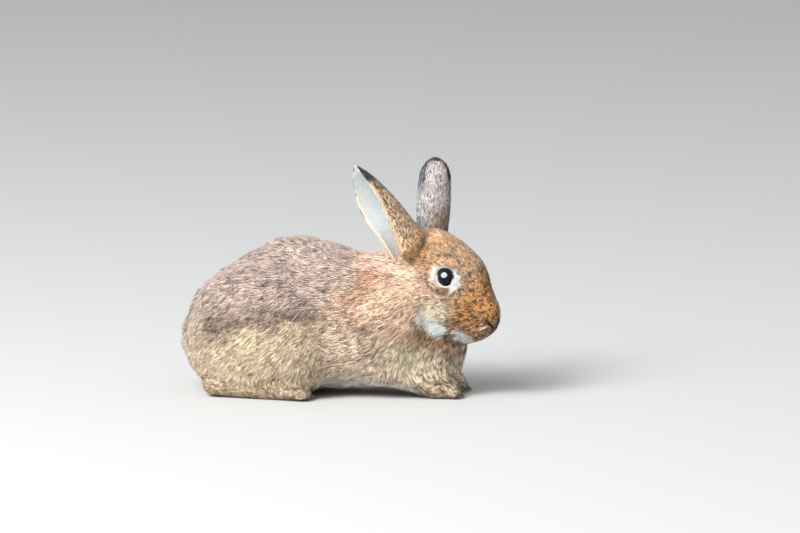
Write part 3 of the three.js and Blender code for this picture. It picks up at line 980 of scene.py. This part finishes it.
def around_eye(side, turned, way, reach):
    """A point reached from the ball's centre, turned away from its outward axis in some way."""
    forward, left, up = FACE_AXES
    flat = np.cos(way)[..., None] * forward + np.sin(way)[..., None] * up
    line = np.cos(turned)[..., None] * (side * left) + np.sin(turned)[..., None] * flat
    return on_head(flipped(EYE_AT, side)) + reach[..., None] * line


def eyeball_rings(side):
    """Rings from the front of the ball to its back, and the angle of each corner from the front."""
    rows, columns = EYE_GRID
    turned, way = np.meshgrid(np.linspace(0.001, math.pi - 0.001, rows),
                              np.arange(columns) / columns * 2 * math.pi * -side, indexing="ij")
    bulge = CORNEA * ramp(math.radians(46), math.radians(26), turned)
    rings = around_eye(side, turned, way, EYE_RADIUS - BALL_LESS + bulge)
    return rings, np.append(np.degrees(turned).ravel(), [0, 180])


def eye_colours(degrees):
    """Pupil, iris and the dark white of the eye, by the angle from the front."""
    iris = ramp(18, 21, degrees) * ramp(50, 46, degrees)
    return blend(blend(PUPIL, IRIS, iris[:, None]), WHITE, ramp(58, 66, degrees)[:, None])


eye = Finish("eye", Roughness=0.3, Specular_IOR_Level=0.0, Coat_Weight=1.0, Coat_Roughness=0.07,
             Coat_IOR=1.2)
eye.coloured(eye.attribute("fur", "Color"))
for name, side in SIDES.items():
    rings, degrees = eyeball_rings(side)
    corners, quads = closed_tube(rings)
    eyeball = build(f"eyeball_{name}", corners, quads[:, ::-1], eye.material, eye_colours(degrees))
    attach(eyeball, "root")
    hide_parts(f"eye_{name}")
    print(eyeball.name, "faces:", len(quads))

# %% [markdown]
# A lid is one profile, swept round the opening. The profile starts at the edge, rises to a soft
# rim, runs out over the ball until it sinks into the cheek, and comes back below the surface. The
# opening's half-angle changes with the way round, so the same profile makes corners and curves.

# %% The lids
LID_PROFILE = np.array([  # degrees from the opening's edge, and height over the ball
    (0.0, -0.6), (0.0, 0.1), (0.8, 0.55), (2.6, 0.85), (5.5, 1.0), (10, 1.15), (16, 1.2), (24, 1.0),
    (33, -0.5), (24, -1.0), (10, -1.0),
])
LID_GRID = (160, 44)      # round the opening, and round the profile
CORNER_WAY = 25           # the front corner lies this many degrees below straight ahead
LID_TONE = 0.92


def opening(way):
    """Half-angle of the opening between the lids: 48.5 degrees, wider up and down, and at both corners."""
    from_front = (np.degrees(way) + CORNER_WAY + 180) % 360 - 180
    from_rear = (np.degrees(way) + CORNER_WAY) % 360 - 180
    front, rear = np.exp(-(from_front / 16) ** 2), np.exp(-(from_rear / 26) ** 2)
    return np.radians(48.5 - 4 * np.cos(2 * way) + 4 * front + 3 * rear)


def upper_lid(way):
    """1 along the upper lid and 0 along the lower one."""
    return ramp(-0.15, 0.35, np.sin(way - math.radians(20)))


def bare_lid(way):
    """Width of the bare edge of a lid, as an angle: a little broader above."""
    return np.radians(blend(5.0, 6.5, upper_lid(way)))


def lid_rings(side):
    """The profile at each way round the opening, and the way and the angle from the edge of each corner."""
    rows, columns = LID_GRID
    way = np.arange(rows) / rows * 2 * math.pi
    closed = np.vstack([LID_PROFILE, LID_PROFILE[:1]])
    fine = np.linspace(0, len(LID_PROFILE), columns + 1)[:-1]
    past, proud = (np.interp(fine, np.arange(len(closed)), column) for column in closed.T)
    ways, pasts = np.meshgrid(way, np.radians(past), indexing="ij")
    return around_eye(side, opening(ways) + pasts, ways, EYE_RADIUS + proud + 0 * ways), ways, pasts


for name, side in SIDES.items():
    rings, ways, pasts = lid_rings(side)
    corners = rings.reshape(-1, 3)
    quads = grid_quads(LID_GRID[0] + 1, LID_GRID[1]) % len(corners)
    bare = blend(PALETTE["pink lid"], PALETTE["dark lid"], upper_lid(ways).reshape(-1, 1))
    furred = ramp(0, math.radians(2), pasts - bare_lid(ways)).reshape(-1, 1)
    shade = blend(bare, head_colours(corners) * LID_TONE, furred)
    lid = build(f"lids_{name}", corners, quads if side == RIGHT else quads[:, ::-1], LID, shade)
    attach(lid, "root")
    print(lid.name, "faces:", len(quads))

# %% [markdown]
# ## Locks of fur
# A lock is a closed spindle: one point at the root, three points round its thickest place, one at
# the tip. It leaves the skin at a slant and bends back along it. The three middle points stand
# apart mostly across the lie, which makes it flat like a blade. All locks of a piece are worked out
# at once, and then the tips are moved to stand exactly at the coat's depth over the skin.

# %% Making locks
LOCK_FACES = np.array([[0, 1, 3], [0, 3, 2], [0, 2, 1], [4, 3, 1], [4, 2, 3], [4, 1, 2]])
LOCK_CHART = np.array([[0.5, 0.0], [0.0, 0.4], [1.0, 0.4], [0.5, 0.5], [0.5, 1.0]])
PATCH = 0.003            # side of each lock's patch on the bake map
THICKEST = 0.42          # where along a lock its thickest place is
BELLY = 0.72             # how much of its rise a lock has there


def spread(corners, quads, normals, density):
    """Roots scattered over quads, as many to each as its area times density asks for."""
    a, b, c, d = (corners[quads[:, k]] for k in range(4))
    area = np.linalg.norm(np.cross(c - a, d - b), axis=1) / 2
    total = np.cumsum(area * density)
    count = int(total[-1])
    chosen = np.searchsorted(total, np.minimum(np.arange(count) + rng.random(count), total[-1] - 1e-6))
    p, q = rng.random((2, count, 1))
    shares = ((1 - p) * (1 - q), p * (1 - q), p * q, (1 - p) * q)
    places = sum(share * corners[quads[chosen, k]] for k, share in enumerate(shares))
    outward = sum(share * normals[quads[chosen, k]] for k, share in enumerate(shares))
    return places, unit(outward)


def locks(roots, normals, lie, length, width, rise):
    """The five points of each lock: root, left, right and back of its thickest place, and tip."""
    lie = unit(lie - (lie * normals).sum(-1, keepdims=True) * normals)
    across = np.cross(normals, lie)
    root = roots - 0.35 * normals * np.minimum(1, width)[:, None]
    middle = roots + (THICKEST * length)[:, None] * lie + (rise * BELLY)[:, None] * normals
    tip = roots + length[:, None] * lie + rise[:, None] * normals
    roll = rng.normal(0, 0.35, (len(roots), 1))
    flat = across * np.cos(roll) + normals * np.sin(roll)
    half = width[:, None] / 2
    back = 0.55 * half * normals
    return np.stack([root, middle - flat * half, middle + flat * half, middle + back, tip], 1)


def lock_strands(n):
    """Across and along each lock, and a number of its own."""
    across = np.array([0, -1, 1, 0, 0.0])
    along = np.array([0, 0.45, 0.45, 0.45, 1.0])
    own = rng.random((n, 1)) * np.ones((1, 5))
    return np.stack([np.tile(across, (n, 1)), np.tile(along, (n, 1)), own], -1)


# %% [markdown]
# A single lock runs from a dark root to a light tip, and a ticked hair ends in a dark tip instead.
# The dark root is partly the hair's own grey base and partly painted shade between the locks.
# Some locks are darker than the field they stand in. A darker lock is also deeper in colour, as
# hair in shade is, so its colour is raised to a power before it is darkened.

# %% The tones of a lock
DEEPENING = 0.4       # how much deeper in colour a darker lock is
LIGHTEST = 0.4        # some locks are much darker than the rest, but few are lighter
MIDDLE_TONE = 0.92


def lock_colours(colours, dark, light, ticked, vary):
    """Root, middle and tip of each lock: dark, middling and light, but dark at the tip of ticked hair."""
    one = np.ones((len(colours), 1))
    tint = np.exp(vary * np.minimum(rng.normal(size=one.shape), LIGHTEST))
    tip = blend(light * one, 0.5, rng.random(one.shape) < ticked)
    row = np.concatenate([dark * one, *[MIDDLE_TONE * one] * 3, tip], 1)
    return colours[:, None] ** (1 - DEEPENING * np.log(tint))[..., None] * (row * tint)[..., None]


# %% Planting a piece of coat
def chart_places(first, second):
    """Two numbers of each root, stretched to fill the bake map, less the room of one patch."""
    chart = np.stack([first, second], -1)
    low, high = chart.min(0), chart.max(0)
    return (chart - low) / (high - low) * (1 - PATCH)


def lock_normals(points, normals):
    """Soft shading: each corner faces out of the skin, and a little to its own side of the lock."""
    side = unit(points[:, 2] - points[:, 1])
    lie = unit(points[:, 4] - points[:, 0])
    turns = np.stack([0 * side, -0.55 * side, 0.55 * side, 0.1 * lie, 0.35 * lie], 1)
    return unit(normals[:, None] + turns)


def grow_coat(name, slot, material, points, normals, colours, chart):
    """One piece of coat from its locks, riding on the body of the frame."""
    n = len(points)
    faces = (np.arange(n)[:, None, None] * 5 + LOCK_FACES).reshape(-1, 3)
    patch = (chart[:, None] + LOCK_CHART * PATCH).reshape(-1, 2)
    piece = build(name, points.reshape(-1, 3), faces, material, colours.reshape(-1, 3),
                  lock_strands(n).reshape(-1, 3), patch[faces.ravel()])
    piece.data.normals_split_custom_set_from_vertices(lock_normals(points, normals).reshape(-1, 3))
    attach(piece, "root")
    print(f"{name}: {n} locks, {len(faces)} triangles")


# %% [markdown]
# The coat of the body takes its habits from the masses. No hair grows on the bare edges of the
# lids, in the tube of the ears or in the seams of nose and mouth, and less of it under the belly.

# %% Where hair grows
COVER = 8.6          # layers of locks over each other


def coat_density(points, normals):
    """Locks for each square millimetre: cover over the area of one lock, fewer where none is seen."""
    habits = survey(points, slice(1, 3))[1]
    density = COVER / (habits[:, 0] * habits[:, 1])
    hidden = ramp(-0.5, -0.9, normals[:, 2]) * ramp(16, 8, points[:, 2])
    open_skin = np.prod([1 - in_funnel(points, ear) for ear in EARS.values()], axis=0)
    beside_seams = ramp(0.3, 1.2, seam_distance(points))
    return density * (1 - 0.8 * hidden) * open_skin * bare_eye(points) * beside_seams


def in_funnel(points, ear):
    """1 in the tube of an ear's root and 0 outside it."""
    _, along, _, facing = ear_axes(ear)
    radius = EAR_HALF * EAR_ROOT_SHARE / math.radians(ear["curl"][0])
    away = points - np.asarray(ear["root"], float) - facing * radius
    height = away @ along
    off_axis = np.linalg.norm(away - height[:, None] * along, axis=1)
    return ramp(radius - 1, radius - 4, off_axis) * ramp(-6, 0, height)


def bare_eye(points):
    """0 on and just round the eyeballs, 1 elsewhere."""
    open_places = 1
    for side in SIDES.values():
        away = in_head(points) - flipped(EYE_AT, side)
        turned = np.arccos(np.clip(unit(away)[:, 1] * side, -1, 1))
        way = np.arctan2(away[:, 2], away[:, 0])
        past = turned - opening(way) - bare_lid(way)
        near = np.linalg.norm(away, axis=1) < EYE_RADIUS + 4
        open_places = open_places * np.where(near, ramp(0, math.radians(3), past), 1)
    return open_places


# %% [markdown]
# Broad and fine drifts turn the locks a little in company, which gives the tufted, parted look of
# real fur instead of a brushed one. Then each tip and each middle is moved along the skin's normal
# until it stands at its own height, so that the coat keeps its depth where the body curves.

# %% The locks of body and head
HEIGHTS = (  # the point of a lock to measure, the points to move, and their share of its rise
    (4, slice(4, 5), 1.0),
    (3, slice(1, 4), BELLY),
)
LEAST_HEIGHT = (0.2, 0.25)   # of a root and of the other points over the floor


def comb(points, lie):
    """Turns the lie of the coat away from an eye that is near."""
    for side in SIDES.values():
        away = points - on_head(flipped(EYE_AT, side))
        close = ramp(20, 12, np.linalg.norm(away, axis=1))[:, None]
        lie = blend(lie, unit(unit(away) - 0.5 * FACE_AXES[0]), 0.75 * close)
    return lie


def body_locks(roots, normals, habits, tuft):
    """The points of every lock of the body, by the habits of the coat at its root."""
    depth, length, width = habits[:, :3].T
    n = len(roots)
    lie = comb(roots, unit(habits[:, 3:6]))
    sway = np.clip(length / 12, 0.25, 1)[:, None]
    lie = lie + sway * (0.3 * drift(roots, 14, 1) + 0.26 * drift(roots, 4.5, 2))
    lie = lie + 0.16 * rng.normal(size=(n, 3))
    rise = depth * (0.95 + 0.3 * tuft[:, 0]) * rng.uniform(0.6, 1.1, n)
    long = length * rng.uniform(0.7, 1.15, n) * (1 + 0.15 * tuft[:, 1])
    long = long * ramp(-1.5, 3.0, seam_distance(roots))
    points = locks(roots, normals, lie, long, width * rng.uniform(0.7, 1.25, n), rise)
    for measured, moved, share in HEIGHTS:
        lack = np.clip(rise * share - skin_level(points[:, measured]), -4, 4)
        points[:, moved] += 0.9 * (lack[:, None] * normals)[:, None]
    points[:, 0, 2] = np.maximum(points[:, 0, 2], LEAST_HEIGHT[0])
    points[:, 1:, 2] = np.maximum(points[:, 1:, 2], LEAST_HEIGHT[1])
    return points


# %% [markdown]
# Real fur isn't one even tone. Short partings show its dark depth: partly the darker underfur, partly
# painted shade. Fine flecks are ticked hairs that lie together, strongest on the nose, where the
# hair is short. White hair has hardly any.

# %% The tones of body and head
FLECK_STRENGTH = ((1.8, 2.6, 3.0, 3.7, 5.4), (0.7, 1.6, 2.2, 1.2, 0.85))   # by the length of a lock
BLOT_STRENGTH = ((1.8, 2.8, 3.7, 5.4), (0.3, 1.1, 0.3, 0.1))
LIGHTEST_FLECK = 0.25


def body_tones(roots, normals, length, tuft):
    """The colours of every lock of the body: the markings, flecked, blotted and parted."""
    # partings, where locks are darkened: partly the darker underfur, partly painted shade
    parting_shade = ramp(0.5, 0.72, drift(roots * (0.6, 1, 1.6), 6, 12)[:, 0])
    short = ramp(5.4, 3.6, length)
    flecks = blend(drift(roots, 1.5, 8)[:, 0], drift(roots, 1.05, 14)[:, 0], short)   # finer in short hair
    strength = np.interp(length, *FLECK_STRENGTH) + 1.3 * ramp(6, 26, in_head(roots)[:, 0])
    blots = np.interp(length, *BLOT_STRENGTH) * drift(roots, 2.6, 10)[:, 0]
    ticks = strength * np.minimum(flecks, LIGHTEST_FLECK) + blots + 0.16 * tuft[:, 2]
    shade = markings(roots, normals)
    pale = ramp(0.5, 0.75, shade.min(-1))
    tone = (np.exp(ticks * (1 - 0.85 * pale)) * (1 - 0.42 * parting_shade)).clip(0.2, 1.6)
    pale = pale[:, None]
    # root tones: partly the hair's own grey base, partly painted shade between locks
    return lock_colours(shade * tone[:, None], blend(0.34, 0.75, pale), 1.12, 0.3 * (1 - pale),
                        blend(0.42, 0.10, pale))


centres, facing = skin_corners[skin_quads].mean(1), unit(skin_normals[skin_quads].mean(1))
roots, normals = spread(skin_corners, skin_quads, skin_normals, coat_density(centres, facing))
habits = survey(roots)[1]
tuft = drift(roots, 5, 5)
points = body_locks(roots, normals, habits, tuft)
colours = body_tones(roots, normals, habits[:, 1], tuft)
print("locks on the body:", len(points), "after", round(time.perf_counter() - BEGAN, 1), "s")

# %% [markdown]
# One mesh of all locks would be too heavy, so the coat is parted where the anatomy parts. Each
# piece gets its own chart for baking: the place along the body, and the way round it.

# %% Parting the coat into pieces
FACE_ENDS, THROAT = -34, -56       # in the head's frame: the rear of the face and its lowest level
MUZZLE_FROM, BROW_UP_TO = 24, 2
RIBS = (-34, 28)                   # from the haunch to the shoulder
HEAD_CORE, TRUNK_CORE = (0, 0, -18), (0, 0, 55)   # the middles that a chart goes round


def regions(roots):
    """For each piece of the coat: its slot, the places that chart it, and which roots are its own."""
    q = in_head(roots)
    x, y, z = roots.T
    of_head, of_trunk = q - HEAD_CORE, roots - TRUNK_CORE
    head = (q[:, 0] - 0.25 * (q[:, 2] + 20) > FACE_ENDS) & (q[:, 2] > THROAT)
    muzzle, brow = head & (q[:, 0] > MUZZLE_FROM), head & (q[:, 0] < BROW_UP_TO)
    foot = (z < 20) & ~head & ((np.abs(y) > 30) & (x < -10) | (x > 60))
    body = ~head & ~foot
    ribs, haunch = body & (x < RIBS[1]) & (x >= RIBS[0]), body & (x < RIBS[0])
    return {
        "coat_muzzle": ("russet_coat", of_head, muzzle),
        "coat_cheeks": ("russet_coat", of_head, head & ~muzzle & ~brow),
        "coat_brow": ("russet_coat", of_head, brow),
        "coat_feet": ("pale_coat", of_trunk, foot),
        "coat_shoulders": ("fawn_coat", of_trunk, body & (x >= RIBS[1])),
        "coat_ribs_right": ("grey_fawn_coat", of_trunk, ribs & (y < 0)),
        "coat_ribs_left": ("grey_fawn_coat", of_trunk, ribs & (y >= 0)),
        "coat_haunch_right": ("grey_fawn_coat", of_trunk, haunch & (y < 0)),
        "coat_haunch_left": ("grey_fawn_coat", of_trunk, haunch & (y >= 0)),
    }


for name, (slot, places, own) in regions(roots).items():
    along, aside, above = places[own].T
    chart = chart_places(along, np.arctan2(aside, above))
    grow_coat(name, slot, BODY_COAT, points[own], normals[own], colours[own], chart)

# %% [markdown]
# An ear's coat is short and lies flat towards the tip. Inside, it is finer and sparser, and longer
# hairs stand along both edges.

# %% The coat of the ears
EAR_LOCKS = 22000
EAR_FUR = (0.6, 3.6, 0.6)      # depth over the skin, length and width of a lock
STEP = 0.004                   # a small step in v and turn, to measure the sheet's directions


def ear_roots(ear):
    """Places on an ear, as many to each part of its length as it is wide there."""
    v, turn, lot = rng.random((3, 3 * EAR_LOCKS))
    v = blend(-0.8 * EAR_SUNK, 0.995, v)
    keep = lot * EAR_ROOT_SHARE < ear_width(ear, v)
    return v[keep][:EAR_LOCKS], turn[keep][:EAR_LOCKS]


def ear_coat(ear):
    """Locks on both faces of an ear, charted by its length and the way round it."""
    v, turn = ear_roots(ear)
    roots = ear_shell(ear, v, turn)
    ahead = ear_shell(ear, np.minimum(v + STEP, 1), turn) - roots
    normals = unit(np.cross(ear_shell(ear, v, turn + STEP) - roots, ahead))
    s, outer = ear_sides(turn)
    edge = ramp(0.88, 0.98, np.abs(s))
    n = len(v)
    depth, length, width = EAR_FUR
    lie = unit(ahead) + 0.35 * drift(roots, 8, 6) + 0.18 * rng.normal(size=(n, 3))
    rise = depth * rng.uniform(0.5, 1.3, n) * (1 + 0.3 * edge)
    long = length * rng.uniform(0.7, 1.2, n) * blend(0.8, 1.0, outer)
    long = long * (1 + 0.1 * edge) * ramp(1.02, 0.9, v).clip(0.45)
    points = locks(roots, normals, lie, long, width * rng.uniform(0.7, 1.2, n), rise)
    flecks = np.minimum(drift(roots, 0.85, 9)[:, 0], 0.15) * ramp(0.99, 0.9, np.abs(s))
    tone = np.exp(flecks * ear["flecks"] * outer)[:, None]
    ticked = 0.5 * outer * ramp(0.98, 0.9, np.abs(s))
    # a darker root: partly the hair's grey base, partly painted shade between locks
    shade = lock_colours(ear_markings(ear, v, s, outer) * tone, 0.6, 1.04, ticked[:, None],
                         blend(0.08, 0.28, outer)[:, None])
    return points, normals, shade, chart_places(v, turn)


for name, ear in EARS.items():
    grow_coat(f"coat_ear_{name}", "ear_coat", EAR_COAT, *ear_coat(ear))

# %% [markdown]
# ## Whiskers and claws
# Whiskers are stiff tapering hairs in rows on each side of the muzzle, with two or three over the
# eye. Claws are small horn cones that just show beyond the fur of the toes.

# %% Tapering rods
def tapered(paths, radii, sides=6):
    """Closed rods along paths (rods, points, 3): at each point a ring round the path's direction."""
    heading = unit(np.gradient(paths, axis=1))
    beside = unit(np.cross(heading, (0.3, 0.2, 0.93)))
    above = np.cross(heading, beside)
    turn = np.arange(sides) / sides * 2 * np.pi
    ring = np.cos(turn)[:, None] * beside[:, :, None] + np.sin(turn)[:, None] * above[:, :, None]
    rings = paths[:, :, None] + radii[..., None, None] * ring
    shapes = [closed_tube(one) for one in rings]
    return joined([(corners, quads, corners * 0) for corners, quads in shapes])[:2]


# %% The whiskers
WHISKERS = 13              # on each side, in rows of five
WHISKER_RADIUS = 0.12
DROOP = (-0.22, 0, -0.16)


def whisker_paths(side):
    """Rows of whiskers: straight lines from the muzzle, bent by droop * share * share of their length."""
    row, number = np.divmod(np.arange(WHISKERS), 5)
    start = np.stack([40 - 3.4 * number + 0.8 * row, 15.5 - 0.2 * number, -17.5 - 3.6 * row], -1)
    aim = np.stack([0.10 - 0.16 * number, 0.9 + 0 * row, 0.10 - 0.22 * row + 0.02 * number], -1)
    aim = unit(aim + 0.07 * rng.normal(size=aim.shape))
    length = 24 + 4.5 * number + 3 * rng.random(WHISKERS)
    share = np.linspace(0, 1, 14)
    path = start[:, None] + (length[:, None] * share)[..., None] * aim[:, None]
    path = path + (length[:, None] * share ** 2)[..., None] * np.array(DROOP)
    radii = WHISKER_RADIUS * (1 - 0.85 * share) * np.ones((WHISKERS, 1))
    return on_head(path * (1, side, 1)), radii


paths, radii = zip(*[whisker_paths(side) for side in SIDES.values()])
finish = Finish("whisker", Roughness=0.4, Base_Color=tuple(PALETTE["whisker"]))
whiskers = build("whiskers", *tapered(np.concatenate(paths), np.concatenate(radii)), finish.material)
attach(whiskers, "root")
print("whiskers:", 2 * WHISKERS)

# %% The claws
CLAWS = [(toe, 6.0) for toe in HIND_TOES] + [(toe, 5.0) for toe in FORE_TOES]   # toe, length of its claw
CLAW_RADII = (1.15, 0.12)   # what the root has over the tip, and the tip
CLAW_LEAST = 0.9            # the lowest level of its middle line


def claw_path(toe, reach, side):
    """From the end of a toe forward, bent down by a share of the square of the way."""
    _, end, radii = toe
    share = np.linspace(0, 1, 9)[:, None]
    path = flipped(end, side) + (radii[1] * 0.55, 0, -1.2)
    path = path + share * np.array([reach, 0, -0.8]) + share ** 2 * np.array([0, 0, -1.8])
    path[:, 2] = np.maximum(path[:, 2], CLAW_LEAST)
    return path


paths = np.array([claw_path(toe, reach, side) for side in SIDES.values() for toe, reach in CLAWS])
narrowing = CLAW_RADII[0] * (1 - np.linspace(0, 1, 9)) ** 0.7 + CLAW_RADII[1]
finish = Finish("claw", Roughness=0.35, Base_Color=tuple(PALETTE["claw"]))
claws = build("claws", *tapered(paths, np.tile(narrowing, (len(paths), 1)), 8), finish.material)
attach(claws, "root")
print("claws:", len(paths))

# %% [markdown]
# ## Light, floor and camera
# A pale floor and wide soft lamps show the coat without hard shadows. The camera stands far off
# with a long lens, a little above the animal, so that the outline hardly changes with depth.

# %% The stage
FLOOR_REACH = 20.0
FLOOR_COLOUR = (0.62, 0.62, 0.61)
SKY_COLOUR, SKY_STRENGTH = (0.93, 0.96, 1.0, 1), 0.5


def ground():
    """A wide pale floor just under the soles."""
    mesh = bpy.data.meshes.new("floor")
    corners = [(x * FLOOR_REACH, y * FLOOR_REACH, 0) for x, y in ((-1, -1), (1, -1), (1, 1), (-1, 1))]
    mesh.from_pydata(corners, [], [(0, 1, 2, 3)])
    mesh.materials.append(Finish("floor", Roughness=0.9, Base_Color=FLOOR_COLOUR).material)
    floor = bpy.data.objects.new("floor", mesh)
    bpy.context.scene.collection.objects.link(floor)
    return floor


def lamp(name, place, aim, size, power):
    """A soft lamp at a place, turned to shine at another."""
    light = bpy.data.lights.new(name, "AREA")
    light.size = size
    light.energy = power
    holder = bpy.data.objects.new(name, light)
    holder.location = place
    holder.rotation_euler = (Vector(aim) - Vector(place)).to_track_quat("-Z", "Y").to_euler()
    bpy.context.scene.collection.objects.link(holder)
    return holder


ground()
sky = bpy.data.worlds.new("sky")
sky.use_nodes = True
sky_light = sky.node_tree.nodes["Background"]
sky_light.inputs["Color"].default_value = SKY_COLOUR
sky_light.inputs["Strength"].default_value = SKY_STRENGTH
bpy.context.scene.world = sky
bpy.context.scene.view_settings.view_transform = "Standard"
BODY_AT = (0, 0, 0.08)
lamp("key", (-0.9, -1.5, 1.6), BODY_AT, 0.7, 28)
lamp("window", (-2.6, -4.3, 4.6), BODY_AT, 5.0, 490)

# %% [markdown]
# A wet eye looks alive when it mirrors something bright. A round lamp in front gives that spark. It
# is linked to the eyeballs alone, so it adds no light to the coat.

# %% The spark in the eyes
catch_light = lamp("catch light", (-1.05, -1.5, 1.15), (0.1, 0, 0.1), 2.8, 2100)
catch_light.data.shape = "DISK"
catch_light.data.color = (0.74, 0.87, 1.0)
eyes_only = bpy.data.collections.new("eyes only")
for piece in pieces:
    if piece.name.startswith("eyeball"):
        eyes_only.objects.link(piece)
catch_light.light_linking.receiver_collection = eyes_only

# %% The camera
AZIMUTH, ELEVATION = math.radians(11), math.radians(8)
MM_IN_PIXEL = 0.85
DISTANCE = 3.8
PICTURE = np.array([800, 533])
ORIGIN_PIXEL = np.array([341.0, 391.0])   # where the picture shows the frame's origin
SENSOR = 36.0
FARTHEST = 100                            # how far the camera sees, so that the floor fills the picture

back = np.array([math.sin(AZIMUTH) * math.cos(ELEVATION), -math.cos(AZIMUTH) * math.cos(ELEVATION),
                 math.sin(ELEVATION)])
aside = np.array([math.cos(AZIMUTH), math.sin(AZIMUTH), 0])
shift = (PICTURE / 2 - ORIGIN_PIXEL) * (1, -1) * MM_IN_PIXEL * MM
aim = shift[0] * aside + shift[1] * np.cross(back, aside)
lens = bpy.data.cameras.new("camera")
lens.sensor_width = SENSOR
lens.lens = DISTANCE / (MM_IN_PIXEL * MM) / PICTURE[0] * SENSOR
lens.clip_end = FARTHEST
camera = bpy.data.objects.new("camera", lens)
camera.location = aim + DISTANCE * back
camera.rotation_euler = Vector(back).to_track_quat("Z", "Y").to_euler()
bpy.context.scene.collection.objects.link(camera)
bpy.context.scene.camera = camera
print("lens:", round(lens.lens, 1), "mm at", DISTANCE, "m")

# %% The measured size
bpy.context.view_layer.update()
print("pieces:", len(pieces), "triangles:", sum(len(p.data.loop_triangles) for p in pieces),
      "in", round(time.perf_counter() - BEGAN, 1), "s")
